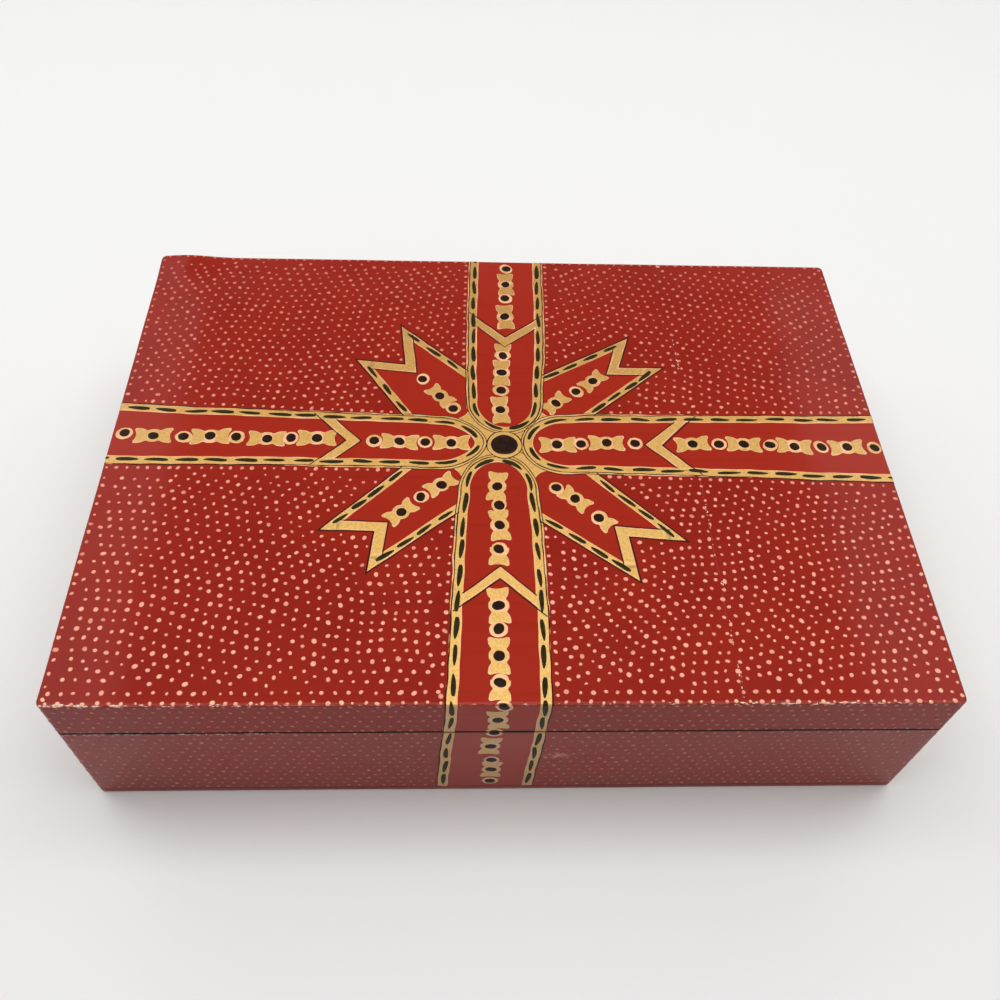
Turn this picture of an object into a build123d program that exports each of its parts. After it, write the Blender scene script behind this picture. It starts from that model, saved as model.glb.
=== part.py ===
"""A flat wooden storage box: a tray of butt-jointed boards with a shallow lid on two brass butt hinges.

Millimetres, +Z up. X runs along the length, -Y is the front, and the hinges are on the +Y side.
The origin is the middle of the underside. The lid is modelled shut.
"""

import os

from build123d import *

# Outside size of the shut box
LENGTH = 254.0
DEPTH = 185.0
HEIGHT = 61.5
SEAM_HEIGHT = 44.2  # underside to the middle of the gap between tray and lid
SEAM_GAP = 0.4

# Boards
WALL = 8.0  # walls of the tray and rails of the lid
BOTTOM = 3.0
TOP = 4.0
TOP_JOINT_X = 63.5  # where the lid's two glued boards meet
CORNER_RADIUS = 1.5
TOP_EDGE_RADIUS = 0.6
BOTTOM_EDGE_RADIUS = 0.8

# Felt glued inside the tray and the lid
FELT = 1.2
FELT_MARGIN = 0.4  # bare strip between the felt and the boards round it

# Brads that hold the boards, sunk under the filler and the lacquer
BRAD_RADIUS = 0.6
BRAD_LENGTH = 16.0
LID_BRAD_LENGTH = 9.0
BRAD_HEAD_RADIUS = 1.1
BRAD_HEAD_HEIGHT = 0.5
BRAD_SINK = 0.8  # depth of the head under the outside face
BRAD_CLEARANCE = 0.05
BRAD_INSET = 22.0  # from the ends of the box to the outer brads of the top and the bottom

# Butt hinges, with the pin outside the back
HINGE_INSET = 52.0  # from the ends of the box to the middle of each hinge
HINGE_LENGTH = 30.0
KNUCKLES = 5
KNUCKLE_GAP = 0.2
LEAF_THICKNESS = 0.9
LEAF_LIP = 1.6  # wood left between the leaf's recess and the inside of the box
BARREL_RADIUS = 2.0
BARREL_STANDOFF = 0.4  # from the back of the box to the barrel
LEAF_SETBACK = 0.1  # from the back of the box to the long edge of the leaf
PIN_RADIUS = 0.9
PIN_CLEARANCE = 0.05
PIN_HEAD_RADIUS = 1.5
PIN_HEAD_HEIGHT = 0.6
RECESS_CLEARANCE = 0.1

# Countersunk wood screws of the hinges
SCREW_SPACING = 18.0
SCREW_RADIUS = 0.9
SCREW_LENGTH = 8.0
SCREW_TIP = 1.6
SCREW_HEAD_RADIUS = 1.7
SCREW_CLEARANCE = 0.04
SCREW_SLOT_WIDTH = 0.4
SCREW_SLOT_DEPTH = 0.35

# Worked out from the sizes above
HALF_LENGTH = LENGTH / 2
HALF_DEPTH = DEPTH / 2
RIM = SEAM_HEIGHT - SEAM_GAP / 2  # upper edge of the tray
LID_RIM = SEAM_HEIGHT + SEAM_GAP / 2  # lower edge of the lid
TOP_UNDERSIDE = HEIGHT - TOP
INNER_HALF_LENGTH = HALF_LENGTH - WALL
INNER_HALF_DEPTH = HALF_DEPTH - WALL
WALL_MIDDLE_X = HALF_LENGTH - WALL / 2
WALL_MIDDLE_Y = HALF_DEPTH - WALL / 2
LEAF_WIDTH = WALL - LEAF_LIP
PIN_Y = HALF_DEPTH + BARREL_STANDOFF + BARREL_RADIUS
SCREW_Y = HALF_DEPTH - LEAF_WIDTH / 2
SCREW_HEAD_SINK = SCREW_CLEARANCE


def block(low, high):
    """A box between two opposite corners."""
    size = [b - a for a, b in zip(low, high)]
    return Pos(*low) * Box(*size, align=(Align.MIN, Align.MIN, Align.MIN))


def outside():
    """The rounded outside of the shut box. Each outer board is cut to it."""
    body = block((-HALF_LENGTH, -HALF_DEPTH, 0), (HALF_LENGTH, HALF_DEPTH, HEIGHT))
    body = fillet(body.edges().filter_by(Axis.Z), CORNER_RADIUS)
    body = fillet(body.faces().sort_by(Axis.Z)[-1].edges(), TOP_EDGE_RADIUS)
    return fillet(body.faces().sort_by(Axis.Z)[0].edges(), BOTTOM_EDGE_RADIUS)


def brad(length, clearance=0.0):
    """A brad pointing down from a head whose upper face is at the origin."""
    head = Cylinder(BRAD_HEAD_RADIUS + clearance, BRAD_HEAD_HEIGHT + clearance,
                    align=(Align.CENTER, Align.CENTER, Align.MAX))
    shank = Cylinder(BRAD_RADIUS + clearance, length + clearance,
                     align=(Align.CENTER, Align.CENTER, Align.MAX))
    return head + shank


def wood_screw(clearance=0.0):
    """A countersunk screw pointing down from a head whose upper face is at the origin."""
    neck = SCREW_RADIUS + clearance
    head = Cone(neck, SCREW_HEAD_RADIUS + clearance, LEAF_THICKNESS,
                align=(Align.CENTER, Align.CENTER, Align.MAX))
    shank = Cylinder(neck, SCREW_LENGTH - SCREW_TIP, align=(Align.CENTER, Align.CENTER, Align.MAX))
    tip = Pos(0, 0, SCREW_TIP - SCREW_LENGTH) * Cone(
        0.1, neck, SCREW_TIP + clearance, align=(Align.CENTER, Align.CENTER, Align.MAX))
    return head + shank + tip


def slotted_screw():
    """The screw itself, with its driver slot."""
    slot = block((-SCREW_HEAD_RADIUS, -SCREW_SLOT_WIDTH / 2, -SCREW_SLOT_DEPTH),
                 (SCREW_HEAD_RADIUS, SCREW_SLOT_WIDTH / 2, SCREW_SLOT_DEPTH))
    return wood_screw() - slot


def corner_brad_places(heights):
    """Brads driven through the front and back boards into the ends of the side boards."""
    return [
        Pos(side * WALL_MIDDLE_X, end * (HALF_DEPTH - BRAD_SINK), z) * Rot(-90 * end, 0, 0)
        for side in (-1, 1)
        for end in (-1, 1)
        for z in heights
    ]


def panel_brad_places(z, turn):
    """Brads driven through the top or the bottom into the boards round the box."""
    along = [(x, end * WALL_MIDDLE_Y) for end in (-1, 1)
             for x in (BRAD_INSET - HALF_LENGTH, 0, HALF_LENGTH - BRAD_INSET)]
    across = [(side * WALL_MIDDLE_X, y) for side in (-1, 1) for y in (-DEPTH / 4, DEPTH / 4)]
    return [Pos(x, y, z) * Rot(turn, 0, 0) for x, y in along + across]


WALL_HEIGHT = RIM - BOTTOM
RAIL_HEIGHT = TOP_UNDERSIDE - LID_RIM
TRAY_CORNERS = corner_brad_places([BOTTOM + 0.3 * WALL_HEIGHT, BOTTOM + 0.7 * WALL_HEIGHT])
LID_CORNERS = corner_brad_places([LID_RIM + 0.5 * RAIL_HEIGHT])
BOTTOM_BRADS = panel_brad_places(BRAD_SINK, 180)
TOP_BRADS = panel_brad_places(HEIGHT - BRAD_SINK, 0)


def brads(places, length):
    """The brads themselves, as separate solids."""
    return Compound(children=[place * brad(length) for place in places])


def pilot_holes(places, length):
    """What the brads need cut out of the boards."""
    return [place * brad(length, BRAD_CLEARANCE) for place in places]


TRAY_HOLES = pilot_holes(TRAY_CORNERS, BRAD_LENGTH) + pilot_holes(BOTTOM_BRADS, BRAD_LENGTH)
LID_HOLES = pilot_holes(LID_CORNERS, BRAD_LENGTH) + pilot_holes(TOP_BRADS, LID_BRAD_LENGTH)


def frame_boards(low, high):
    """Front, back, left and right boards between two heights, butted behind the front and back."""
    boards = {}
    for name, end in (("front", -1), ("back", 1)):
        y = sorted((end * INNER_HALF_DEPTH, end * HALF_DEPTH))
        boards[name] = block((-HALF_LENGTH, y[0], low), (HALF_LENGTH, y[1], high))
    for name, side in (("left", -1), ("right", 1)):
        x = sorted((side * INNER_HALF_LENGTH, side * HALF_LENGTH))
        boards[name] = block((x[0], -INNER_HALF_DEPTH, low), (x[1], INNER_HALF_DEPTH, high))
    return boards


def hinge_recess(x):
    """The pocket for both leaves of the hinge at x, across the seam."""
    half = HINGE_LENGTH / 2 + RECESS_CLEARANCE
    deep = SEAM_GAP / 2 + LEAF_THICKNESS
    return block((x - half, HALF_DEPTH - LEAF_WIDTH - RECESS_CLEARANCE, SEAM_HEIGHT - deep),
                 (x + half, HALF_DEPTH + WALL, SEAM_HEIGHT + deep))


def screw_places(x, leaf):
    """Where a hinge's screws go: leaf is -1 for the tray's leaf and 1 for the lid's."""
    z = SEAM_HEIGHT + leaf * (SEAM_GAP / 2 + SCREW_HEAD_SINK)
    turn = 90 + 90 * leaf
    return [Pos(x + step * SCREW_SPACING / 2, SCREW_Y, z) * Rot(turn, 0, 0) for step in (-1, 1)]


def knuckle_spans(first):
    """The ends along X of every second knuckle, counted from first."""
    pitch = HINGE_LENGTH / KNUCKLES
    return [(-HINGE_LENGTH / 2 + i * pitch + KNUCKLE_GAP / 2,
             -HINGE_LENGTH / 2 + (i + 1) * pitch - KNUCKLE_GAP / 2)
            for i in range(first, KNUCKLES, 2)]


def hinge_leaf(x, leaf):
    """A leaf with its rolled knuckles. The tray's leaf, -1, has the outer knuckles."""
    z = sorted((leaf * SEAM_GAP / 2, leaf * (SEAM_GAP / 2 + LEAF_THICKNESS)))
    edge = HALF_DEPTH - LEAF_SETBACK - PIN_Y
    body = block((-HINGE_LENGTH / 2, HALF_DEPTH - LEAF_WIDTH - PIN_Y, z[0]),
                 (HINGE_LENGTH / 2, edge, z[1]))
    for start, stop in knuckle_spans(0 if leaf < 0 else 1):
        body += block((start, edge, z[0]), (stop, 0, z[1]))
        body += Pos((start + stop) / 2, 0, 0) * Rot(0, 90, 0) * Cylinder(BARREL_RADIUS, stop - start)
    body -= Rot(0, 90, 0) * Cylinder(PIN_RADIUS + PIN_CLEARANCE, HINGE_LENGTH + WALL)
    body = Pos(x, PIN_Y, SEAM_HEIGHT) * body
    for place in screw_places(x, leaf):
        body -= place * wood_screw(SCREW_CLEARANCE)
    return body


def hinge_pin(x):
    """The pin with its two peened heads, just outside the end knuckles."""
    reach = HINGE_LENGTH / 2 - KNUCKLE_GAP / 2 + PIN_CLEARANCE
    body = Cylinder(PIN_RADIUS, 2 * (reach + PIN_HEAD_HEIGHT))
    for end in (-1, 1):
        body += Pos(0, 0, end * (reach + PIN_HEAD_HEIGHT / 2)) * Cylinder(PIN_HEAD_RADIUS, PIN_HEAD_HEIGHT)
    rims = body.edges().filter_by(GeomType.CIRCLE).sort_by(Axis.Z)
    body = chamfer([rims[0], rims[-1]], PIN_HEAD_HEIGHT / 3)
    return Pos(x, PIN_Y, SEAM_HEIGHT) * Rot(0, 90, 0) * body


def felt(low):
    """A sheet of felt that fills the inside of the box, less its margin."""
    x = INNER_HALF_LENGTH - FELT_MARGIN
    y = INNER_HALF_DEPTH - FELT_MARGIN
    return block((-x, -y, low), (x, y, low + FELT))


def cut(board, shape, tools):
    """A board cut to the outside of the box, less the tools that reach it."""
    board = board & shape
    box = board.bounding_box()
    near = [t for t in tools if box.overlaps(t.bounding_box())]
    for tool in near:
        board -= tool
    return board


def tray(shape, hinges):
    """The tray: four walls on a thin bottom board, with its felt and brads."""
    tools = list(TRAY_HOLES)
    for x in hinges.values():
        tools.append(hinge_recess(x))
        tools += [place * wood_screw(SCREW_CLEARANCE) for place in screw_places(x, -1)]
    parts = {f"base_{name}_wall": cut(board, shape, tools)
             for name, board in frame_boards(BOTTOM, RIM).items()}
    bottom = block((-HALF_LENGTH, -HALF_DEPTH, 0), (HALF_LENGTH, HALF_DEPTH, BOTTOM))
    parts["base_bottom_board"] = cut(bottom, shape, tools)
    parts["base_floor_felt"] = felt(BOTTOM)
    parts["base_corner_brads"] = brads(TRAY_CORNERS, BRAD_LENGTH)
    parts["base_bottom_brads"] = brads(BOTTOM_BRADS, BRAD_LENGTH)
    return parts


def lid(shape, hinges):
    """The lid: four rails under two glued boards, with its felt and brads."""
    tools = list(LID_HOLES)
    for x in hinges.values():
        tools.append(hinge_recess(x))
        tools += [place * wood_screw(SCREW_CLEARANCE) for place in screw_places(x, 1)]
    parts = {f"lid_{name}_rail": cut(board, shape, tools)
             for name, board in frame_boards(LID_RIM, TOP_UNDERSIDE).items()}
    for name, start, stop in (("wide", -HALF_LENGTH, TOP_JOINT_X), ("narrow", TOP_JOINT_X, HALF_LENGTH)):
        board = block((start, -HALF_DEPTH, TOP_UNDERSIDE), (stop, HALF_DEPTH, HEIGHT))
        parts[f"lid_top_{name}_board"] = cut(board, shape, tools)
    parts["lid_ceiling_felt"] = felt(TOP_UNDERSIDE - FELT)
    parts["lid_corner_brads"] = brads(LID_CORNERS, BRAD_LENGTH)
    parts["lid_top_brads"] = brads(TOP_BRADS, LID_BRAD_LENGTH)
    return parts


def hinge(name, x):
    """A hinge's two leaves, its pin and its four screws."""
    parts = {f"{name}_hinge_pin": hinge_pin(x)}
    for side, leaf in (("base", -1), ("lid", 1)):
        parts[f"{name}_hinge_{side}_leaf"] = hinge_leaf(x, leaf)
        parts[f"{name}_hinge_{side}_screws"] = Compound(
            children=[place * slotted_screw() for place in screw_places(x, leaf)])
    return parts


def main():
    shape = outside()
    hinges = {"left": HINGE_INSET - HALF_LENGTH, "right": HALF_LENGTH - HINGE_INSET}
    parts = tray(shape, hinges) | lid(shape, hinges)
    for name, x in hinges.items():
        parts |= hinge(name, x)
    os.makedirs("parts", exist_ok=True)
    for name, part in parts.items():
        export_step(part, f"parts/{name}.step")


main()
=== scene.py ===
"""Dresses the wooden storage box: lacquer, painted ribbon and bow, beads, dots, felt and brass.

Metres, in the frame's own axes: X along the box, -Y to the front, +Z up, the origin under the box's middle.
The lists of the ornament are in millimetres and go through mm(). Flat points are places on the unfolded lid:
past an edge of the top they run on over the rounded edge and down the wall.
"""

import bpy
import numpy as np
from mathutils import Matrix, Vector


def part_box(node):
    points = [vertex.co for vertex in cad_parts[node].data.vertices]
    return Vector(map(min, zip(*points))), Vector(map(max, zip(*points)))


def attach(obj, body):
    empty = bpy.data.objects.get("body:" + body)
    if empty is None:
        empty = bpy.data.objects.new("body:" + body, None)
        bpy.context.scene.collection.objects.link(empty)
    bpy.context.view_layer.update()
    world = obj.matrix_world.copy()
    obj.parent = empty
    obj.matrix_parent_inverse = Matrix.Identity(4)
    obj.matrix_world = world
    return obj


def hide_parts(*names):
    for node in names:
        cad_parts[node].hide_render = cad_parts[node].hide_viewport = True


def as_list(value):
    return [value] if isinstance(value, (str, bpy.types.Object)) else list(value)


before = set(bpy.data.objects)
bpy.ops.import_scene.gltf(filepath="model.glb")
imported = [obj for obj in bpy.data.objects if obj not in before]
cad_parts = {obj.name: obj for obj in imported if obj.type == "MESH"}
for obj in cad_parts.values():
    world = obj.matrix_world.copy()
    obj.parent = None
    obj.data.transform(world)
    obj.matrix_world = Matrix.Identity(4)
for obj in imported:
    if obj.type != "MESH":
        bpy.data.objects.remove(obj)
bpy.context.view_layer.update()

bl_info = {
    "name": "Painted storage box",
    "version": (1, 0, 0),
    "blender": (4, 5, 0),
    "location": "3D View > Sidebar > Storage box",
    "description": "Lacquer, painted ornament, lining and metalwork of a wooden storage box",
    "category": "Object",
}

MM = 0.001


def mm(values):
    """Millimetres as an array of metres."""
    return np.asarray(values, float) * MM


# Places of the wood, from the frame
WOOD_HALF = np.array(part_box("base_bottom_board")[1][:2])
WOOD_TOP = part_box("lid_top_wide_board")[1][2]
LID_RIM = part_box("lid_front_rail")[0][2]
TRAY_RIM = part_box("base_front_wall")[1][2]
BOTTOM_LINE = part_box("base_front_wall")[0][2]
TOP_JOINT_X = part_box("lid_top_wide_board")[1][0]
BOARDS = [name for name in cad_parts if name.endswith(("_wall", "_rail", "_board"))]

# Heights of the layers of paint over the lacquer, and how deep each piece of paint is set into it
SINK = 0.03 * MM
WEB = 0.04 * MM
TAIL = 0.045 * MM
NOTCH = 0.055 * MM
CHEVRON = 0.07 * MM
BEAD = 0.06 * MM
BAND = 0.06 * MM
ROUND_BEAD = 0.085 * MM
LINE = 0.085 * MM
DASH = 0.10 * MM
BEAD_CENTRE = 0.125 * MM
MEDALLION = 0.105 * MM
MEDALLION_CENTRE = 0.13 * MM
DOT = 0.13 * MM
FLAKE = 0.025 * MM

# Share of the way across a strip of paint and share of its height there; -1 is the sunk edge
WIDE_SECTION = np.array([(0, -1), (0.07, 0.8), (0.25, 1), (0.5, 1.05), (0.75, 1), (0.93, 0.8), (1, -1)])
FINE_SECTION = np.array([(0, -1), (0.12, 0.85), (0.5, 1), (0.88, 0.85), (1, -1)])

# Tone of the gold's sunk edge, which the material turns brown
RIM_TONE = 1.7

# Rings of a round bead and of a flat dab, as shares of the radius, and how many spokes a round bead has
BEAD_RINGS = (0.5, 0.8, 0.93)
DAB_RINGS = (0.7,)
BEAD_SPOKES = 20

# Steps round the top's edge and round an upright corner, and how far paint keeps from the rims at the seam
EDGE_STEPS = 6
CORNER_STEPS = 10
RIM_LAP = 0.12 * MM

# Grids over the lid's top and over the felt: how far apart the lines are in the middle and in the border, and
# how wide the border is
TOP_GRID = (1.6 * MM, 0.55 * MM, 6 * MM)
FELT_GRID = (3 * MM, 0.5 * MM, 2 * MM)

# Lengths of the slow waves in the lacquer, and of those that a gold band strays by
RIPPLE_WAVES = mm([17, 23, 31, 40, 52, 66])
BAND_WAVES = mm([9, 16, 29, 47])

# The swell of the top's back edge: its place along X, its height and how far it reaches each way
SWELL_X = -0.117
SWELL_HEIGHT = 0.8 * MM
SWELL_REACH = mm([7.0, 7.0, 2.5])

# The scuff on the front wall: its places along X and up, and how far it reaches each way
SCUFF_X = 0.015
SCUFF_Z = 0.027
SCUFF_REACH = mm([3.4, 2.0, 1.5])

# Seeds that don't follow the user's: of the crack, the seam's painted shade and the lines of the tails and
# chevrons
CRACK_SEED = 91
SEAM_SHADE_SEED = 93
TAIL_SEEDS = range(60, 68, 2)
CHEVRON_SEEDS = range(70, 78, 2)

# How far the gold band's arch reaches out from its tip, and how far the dots keep from the ribbon
ARCH_REACH = 12.5 * MM
DOT_GAP = 1.5 * MM

# Pitch and length of the dashes on the lid, on the tray and on the bow's tails
LID_DASHES = (9.2 * MM, 7.3 * MM)
TRAY_DASHES = (10.5 * MM, 8.2 * MM)
TAIL_DASHES = (8.6 * MM, 6.4 * MM)

# Places of the two side lamps, and the width and depth of each
SIDE_LAMPS = {"left_lamp": (-0.86, 0.75, 1.0), "right_lamp": (0.95, 0.75, 1.0)}
SIDE_LAMP_SIZE = (0.8, 1.3)


def length(name, description, millimetres):
    """A length property, given in millimetres."""
    return bpy.props.FloatProperty(name=name, description=description, default=millimetres * MM, min=0,
                                   unit="LENGTH", precision=5)


def colour(name, description, red, green, blue):
    """A colour property, given as it looks, from 0 to 255."""
    return bpy.props.FloatVectorProperty(name=name, description=description, subtype="COLOR_GAMMA", size=3,
                                         default=(red / 255, green / 255, blue / 255), min=0, max=1)


def degrees(name, description, value):
    """An angle property, given in degrees."""
    return bpy.props.FloatProperty(name=name, description=description, default=np.radians(value),
                                   subtype="ANGLE")


def amount(name, description, value, least=0):
    """A property that is a plain number."""
    return bpy.props.FloatProperty(name=name, description=description, default=value, min=least)


class BoxSizes(bpy.types.PropertyGroup):
    """Sizes of the finish and of the painted ornament."""

    coat: length("Coat", "Thickness of the paint and lacquer over the wood", 0.2)
    edge_radius: length("Top edge radius", "Rounding of the lacquer round the top", 0.5)
    corner_radius: length("Corner radius", "Rounding of the upright corners of the wood", 1.5)
    foot_radius: length("Foot radius", "Rounding of the wood round the underside", 0.8)
    ripple: length("Ripple", "Height of the slow waves in the lacquer", 0.05)
    wobble: length("Wobble", "How far a painted line strays from its path", 0.16)
    band_width: length("Band width", "Width of the gold bands along the ribbon", 3.0)
    tail_width: length("Tail width", "Width of the gold edge round the bow's tails", 2.8)
    notch_width: length("Notch width", "Width of the gold edge round the notch of each tail", 3.55)
    line_width: length("Line width", "Width of the dark outlines", 0.45)
    tail_dash: length("Tail dash width", "Widest part of the dark dashes on the bow's tails", 1.75)
    bead_length: length("Long bead", "Length of the beads with flared ends on the side arms", 12.4)
    bead_waist: length("Long bead middle", "Half the width of a long bead, near enough", 3.05)
    ring_radius: length("Round bead radius", "Radius of the round beads", 2.7)
    centre_radius: length("Bead centre radius", "Radius of the dark dot on each bead", 1.8)
    top_dot: length("Top dot", "Radius of the dots on the lid", 0.64)
    top_pitch: length("Top dot pitch", "Distance between the dots on the lid", 3.6)
    wall_dot: length("Wall dot", "Radius of the dots on the walls", 0.62)
    wall_pitch: length("Wall dot pitch", "Distance between the dots on the walls", 3.42)
    seed: bpy.props.IntProperty(name="Seed", description="Start of every random draw", default=7, min=0)


class BoxColours(bpy.types.PropertyGroup):
    """Colours of the finish, as they look in plain light; a few, as marked, are painted shade."""

    lacquer: colour("Lacquer", "Red of the lacquered paint", 148, 31, 13)
    lacquer_deep: colour("Deep lacquer", "Red in the darker patches", 134, 23, 11)
    ribbon: colour("Ribbon", "Red inside the ribbon and the bow", 158, 36, 17)
    gold: colour("Gold", "Gold paint at the front", 238, 192, 110)
    # Painted shade: the gold darkened, as it looks at the back of the top
    gold_shaded_back: colour("Dull gold", "Gold paint at the back", 196, 147, 80)
    rim: colour("Gold's edge", "Brown edge of the gold paint", 112, 48, 22)
    peach: colour("Peach", "Thin edges of the gold paint", 250, 192, 148)
    dark: colour("Dark", "Dark paint of the dashes", 50, 42, 14)
    outline: colour("Outline", "Dark paint of the outlines", 50, 28, 12)
    centre: colour("Bead centres", "Dark paint of the bead centres", 46, 24, 15)
    dot: colour("Dots", "Paint of the dots", 250, 166, 140)
    # Painted shade: the dots' paint darkened for the less lit walls
    wall_dot: colour("Wall dots", "Paint of the dots on the walls", 188, 99, 90)
    filler: colour("Filler", "Pale ground that shows in the chips", 252, 236, 216)
    # Also the colour of the worn top edge, where it stands for a painted highlight too
    filler_deep: colour("Deep filler", "Ground stained by the red paint", 222, 160, 142)
    # Painted shade in the seam between lid and tray; it also darkens the groove of the bottom joint
    seam_shade: colour("Grime", "Dirt along the seam", 34, 9, 6)
    wood: colour("Wood", "Bare wood inside the box", 206, 170, 120)
    wood_deep: colour("Wood grain", "Darker rings of the bare wood", 188, 148, 98)
    felt: colour("Felt", "Lining", 40, 76, 54)
    brass: colour("Brass", "Hinges and their screws", 200, 162, 92)
    steel: colour("Steel", "Brads", 150, 150, 152)
    floor: colour("Floor", "Floor and backdrop", 238, 238, 236)


class BoxStage(bpy.types.PropertyGroup):
    """The camera and the lamps."""

    camera: bpy.props.FloatVectorProperty(name="Camera", description="Place of the camera", subtype="XYZ",
                                          default=(-0.01554, -0.20858, 0.30656), unit="LENGTH")
    pitch: degrees("Pitch", "How far the camera looks down", 52.737)
    yaw: degrees("Yaw", "How far the camera turns to the right", 4.296)
    roll: degrees("Roll", "How far the camera leans to its left", 3.748)
    lens: amount("Lens", "Focal length on a sensor 36 mm wide, in millimetres", 35.18, least=1)
    lamp_power: amount("Lamp power", "Power of the soft lamp, in watts", 13.6)
    lamp_height: length("Lamp height", "Height of the soft lamp over the floor", 1250)
    lamp_length: length("Lamp length", "Length of the soft lamp", 1600)
    lamp_depth: length("Lamp depth", "Depth of the soft lamp", 800)
    side_power: amount("Side lamp power", "Power of each side lamp, in watts", 4.6)
    world: amount("World", "Strength of the light from all round", 0.2)


def smooth(x, knots):
    """A smooth curve through (x, y) knots.

    Between two knots it is the cubic with the slope of the neighbouring knots at each end. Outside them it
    goes on straight.
    """
    xs, ys = np.asarray(knots, float).T
    slopes = np.gradient(ys, xs)
    i = np.clip(np.searchsorted(xs, x) - 1, 0, len(xs) - 2)
    span = xs[i + 1] - xs[i]
    t = (np.clip(x, xs[0], xs[-1]) - xs[i]) / span
    inside = (ys[i] * (1 + 2 * t) * (1 - t) ** 2 + slopes[i] * span * t * (1 - t) ** 2
              + ys[i + 1] * t**2 * (3 - 2 * t) + slopes[i + 1] * span * t**2 * (t - 1))
    return inside + slopes[0] * np.minimum(x - xs[0], 0) + slopes[-1] * np.maximum(x - xs[-1], 0)


def wander(at, seed, wavelengths, size):
    """A smooth stray along a line: sines of the given wavelengths, at random phases, averaged."""
    phases = np.random.default_rng(seed).uniform(0, 2 * np.pi, len(wavelengths))
    waves = np.sin(2 * np.pi * np.asarray(at)[..., None] / np.asarray(wavelengths) + phases)
    return 1.6 * size * waves.mean(-1)


def grid_faces(rows, columns, close_rows=False, close_columns=False):
    """Quads between neighbouring points of a grid stored row by row, and round its ends where it closes."""
    i = np.arange(rows if close_rows else rows - 1)[:, None]
    j = np.arange(columns if close_columns else columns - 1)[None, :]
    after = (i + 1) % rows
    right = (j + 1) % columns
    corners = [i * columns + j, i * columns + right, after * columns + right, after * columns + j]
    return np.stack([np.broadcast_to(c, np.broadcast_shapes(i.shape, j.shape)).ravel() for c in corners], 1)


def grid_border(index):
    """The border of a grid of point numbers, once round."""
    return np.concatenate([index[0], index[1:, -1], index[-1, -2::-1], index[-2:0:-1, 0]])


def bar_faces(count, wide):
    """Faces of a bar: a closed section of wide points, carried through count places, with flat ends."""
    cap = np.arange(wide)[None]
    return [grid_faces(count, wide, close_columns=True), cap[:, ::-1], cap + (count - 1) * wide]


def dome_faces(rings, spokes):
    """Faces of a dome: a fan round its top point, quads between its rings, and one face underneath."""
    rim = np.arange(spokes)
    fan = np.column_stack([np.zeros(spokes, int), rim + 1, (rim + 1) % spokes + 1])
    sides = grid_faces(rings, spokes, close_columns=True)[:, ::-1] + 1
    under = (1 + (rings - 1) * spokes + rim)[::-1][None]
    return [fan, sides, under]


def turns(count):
    """Angles of spokes spaced evenly all round."""
    return np.arange(count) * 2 * np.pi / count


def signed_volume(points, faces):
    """Six times the volume inside: each face's fan of triangles, taken to the middle of the points."""
    seen = points - points.mean(0)
    total = 0.0
    for group in faces:
        corner = seen[group[:, 0]]
        for k in range(1, group.shape[1] - 1):
            total += np.einsum("ij,ij->", corner, np.cross(seen[group[:, k]], seen[group[:, k + 1]]))
    return total


def mark(mesh, name, values):
    """Stores a number at each point of a mesh."""
    attribute = mesh.attributes.new(name, "FLOAT", "POINT")
    attribute.data.foreach_set("value", np.asarray(values, np.float32))


def new_piece(name, chunks, body, finish):
    """A mesh object from closed shells, each (points, groups of faces, tones), turned to face outwards."""
    corners = []
    counts = []
    offset = 0
    for points, faces, _ in chunks:
        inside_out = signed_volume(points, faces) < 0
        for group in faces:
            turned = group[:, ::-1] if inside_out else group
            corners.append((turned + offset).ravel())
            counts.append(np.full(len(group), group.shape[1]))
        offset += len(points)
    corners = np.concatenate(corners)
    counts = np.concatenate(counts)
    mesh = bpy.data.meshes.new(name)
    mesh.vertices.add(offset)
    mesh.vertices.foreach_set("co", np.concatenate([c[0] for c in chunks]).ravel())
    mesh.loops.add(len(corners))
    mesh.loops.foreach_set("vertex_index", corners.astype(np.int32))
    mesh.polygons.add(len(counts))
    mesh.polygons.foreach_set("loop_start", (np.cumsum(counts) - counts).astype(np.int32))
    mark(mesh, "tone", np.concatenate([c[2] for c in chunks]))
    mesh.update(calc_edges=True)
    if mesh.validate():
        raise RuntimeError(f"{name}: the mesh had faces that Blender refuses")
    mesh.shade_smooth()
    piece = bpy.data.objects.new(name, mesh)
    bpy.context.scene.collection.objects.link(piece)
    mesh.materials.append(finish)
    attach(piece, body)
    return piece


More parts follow.
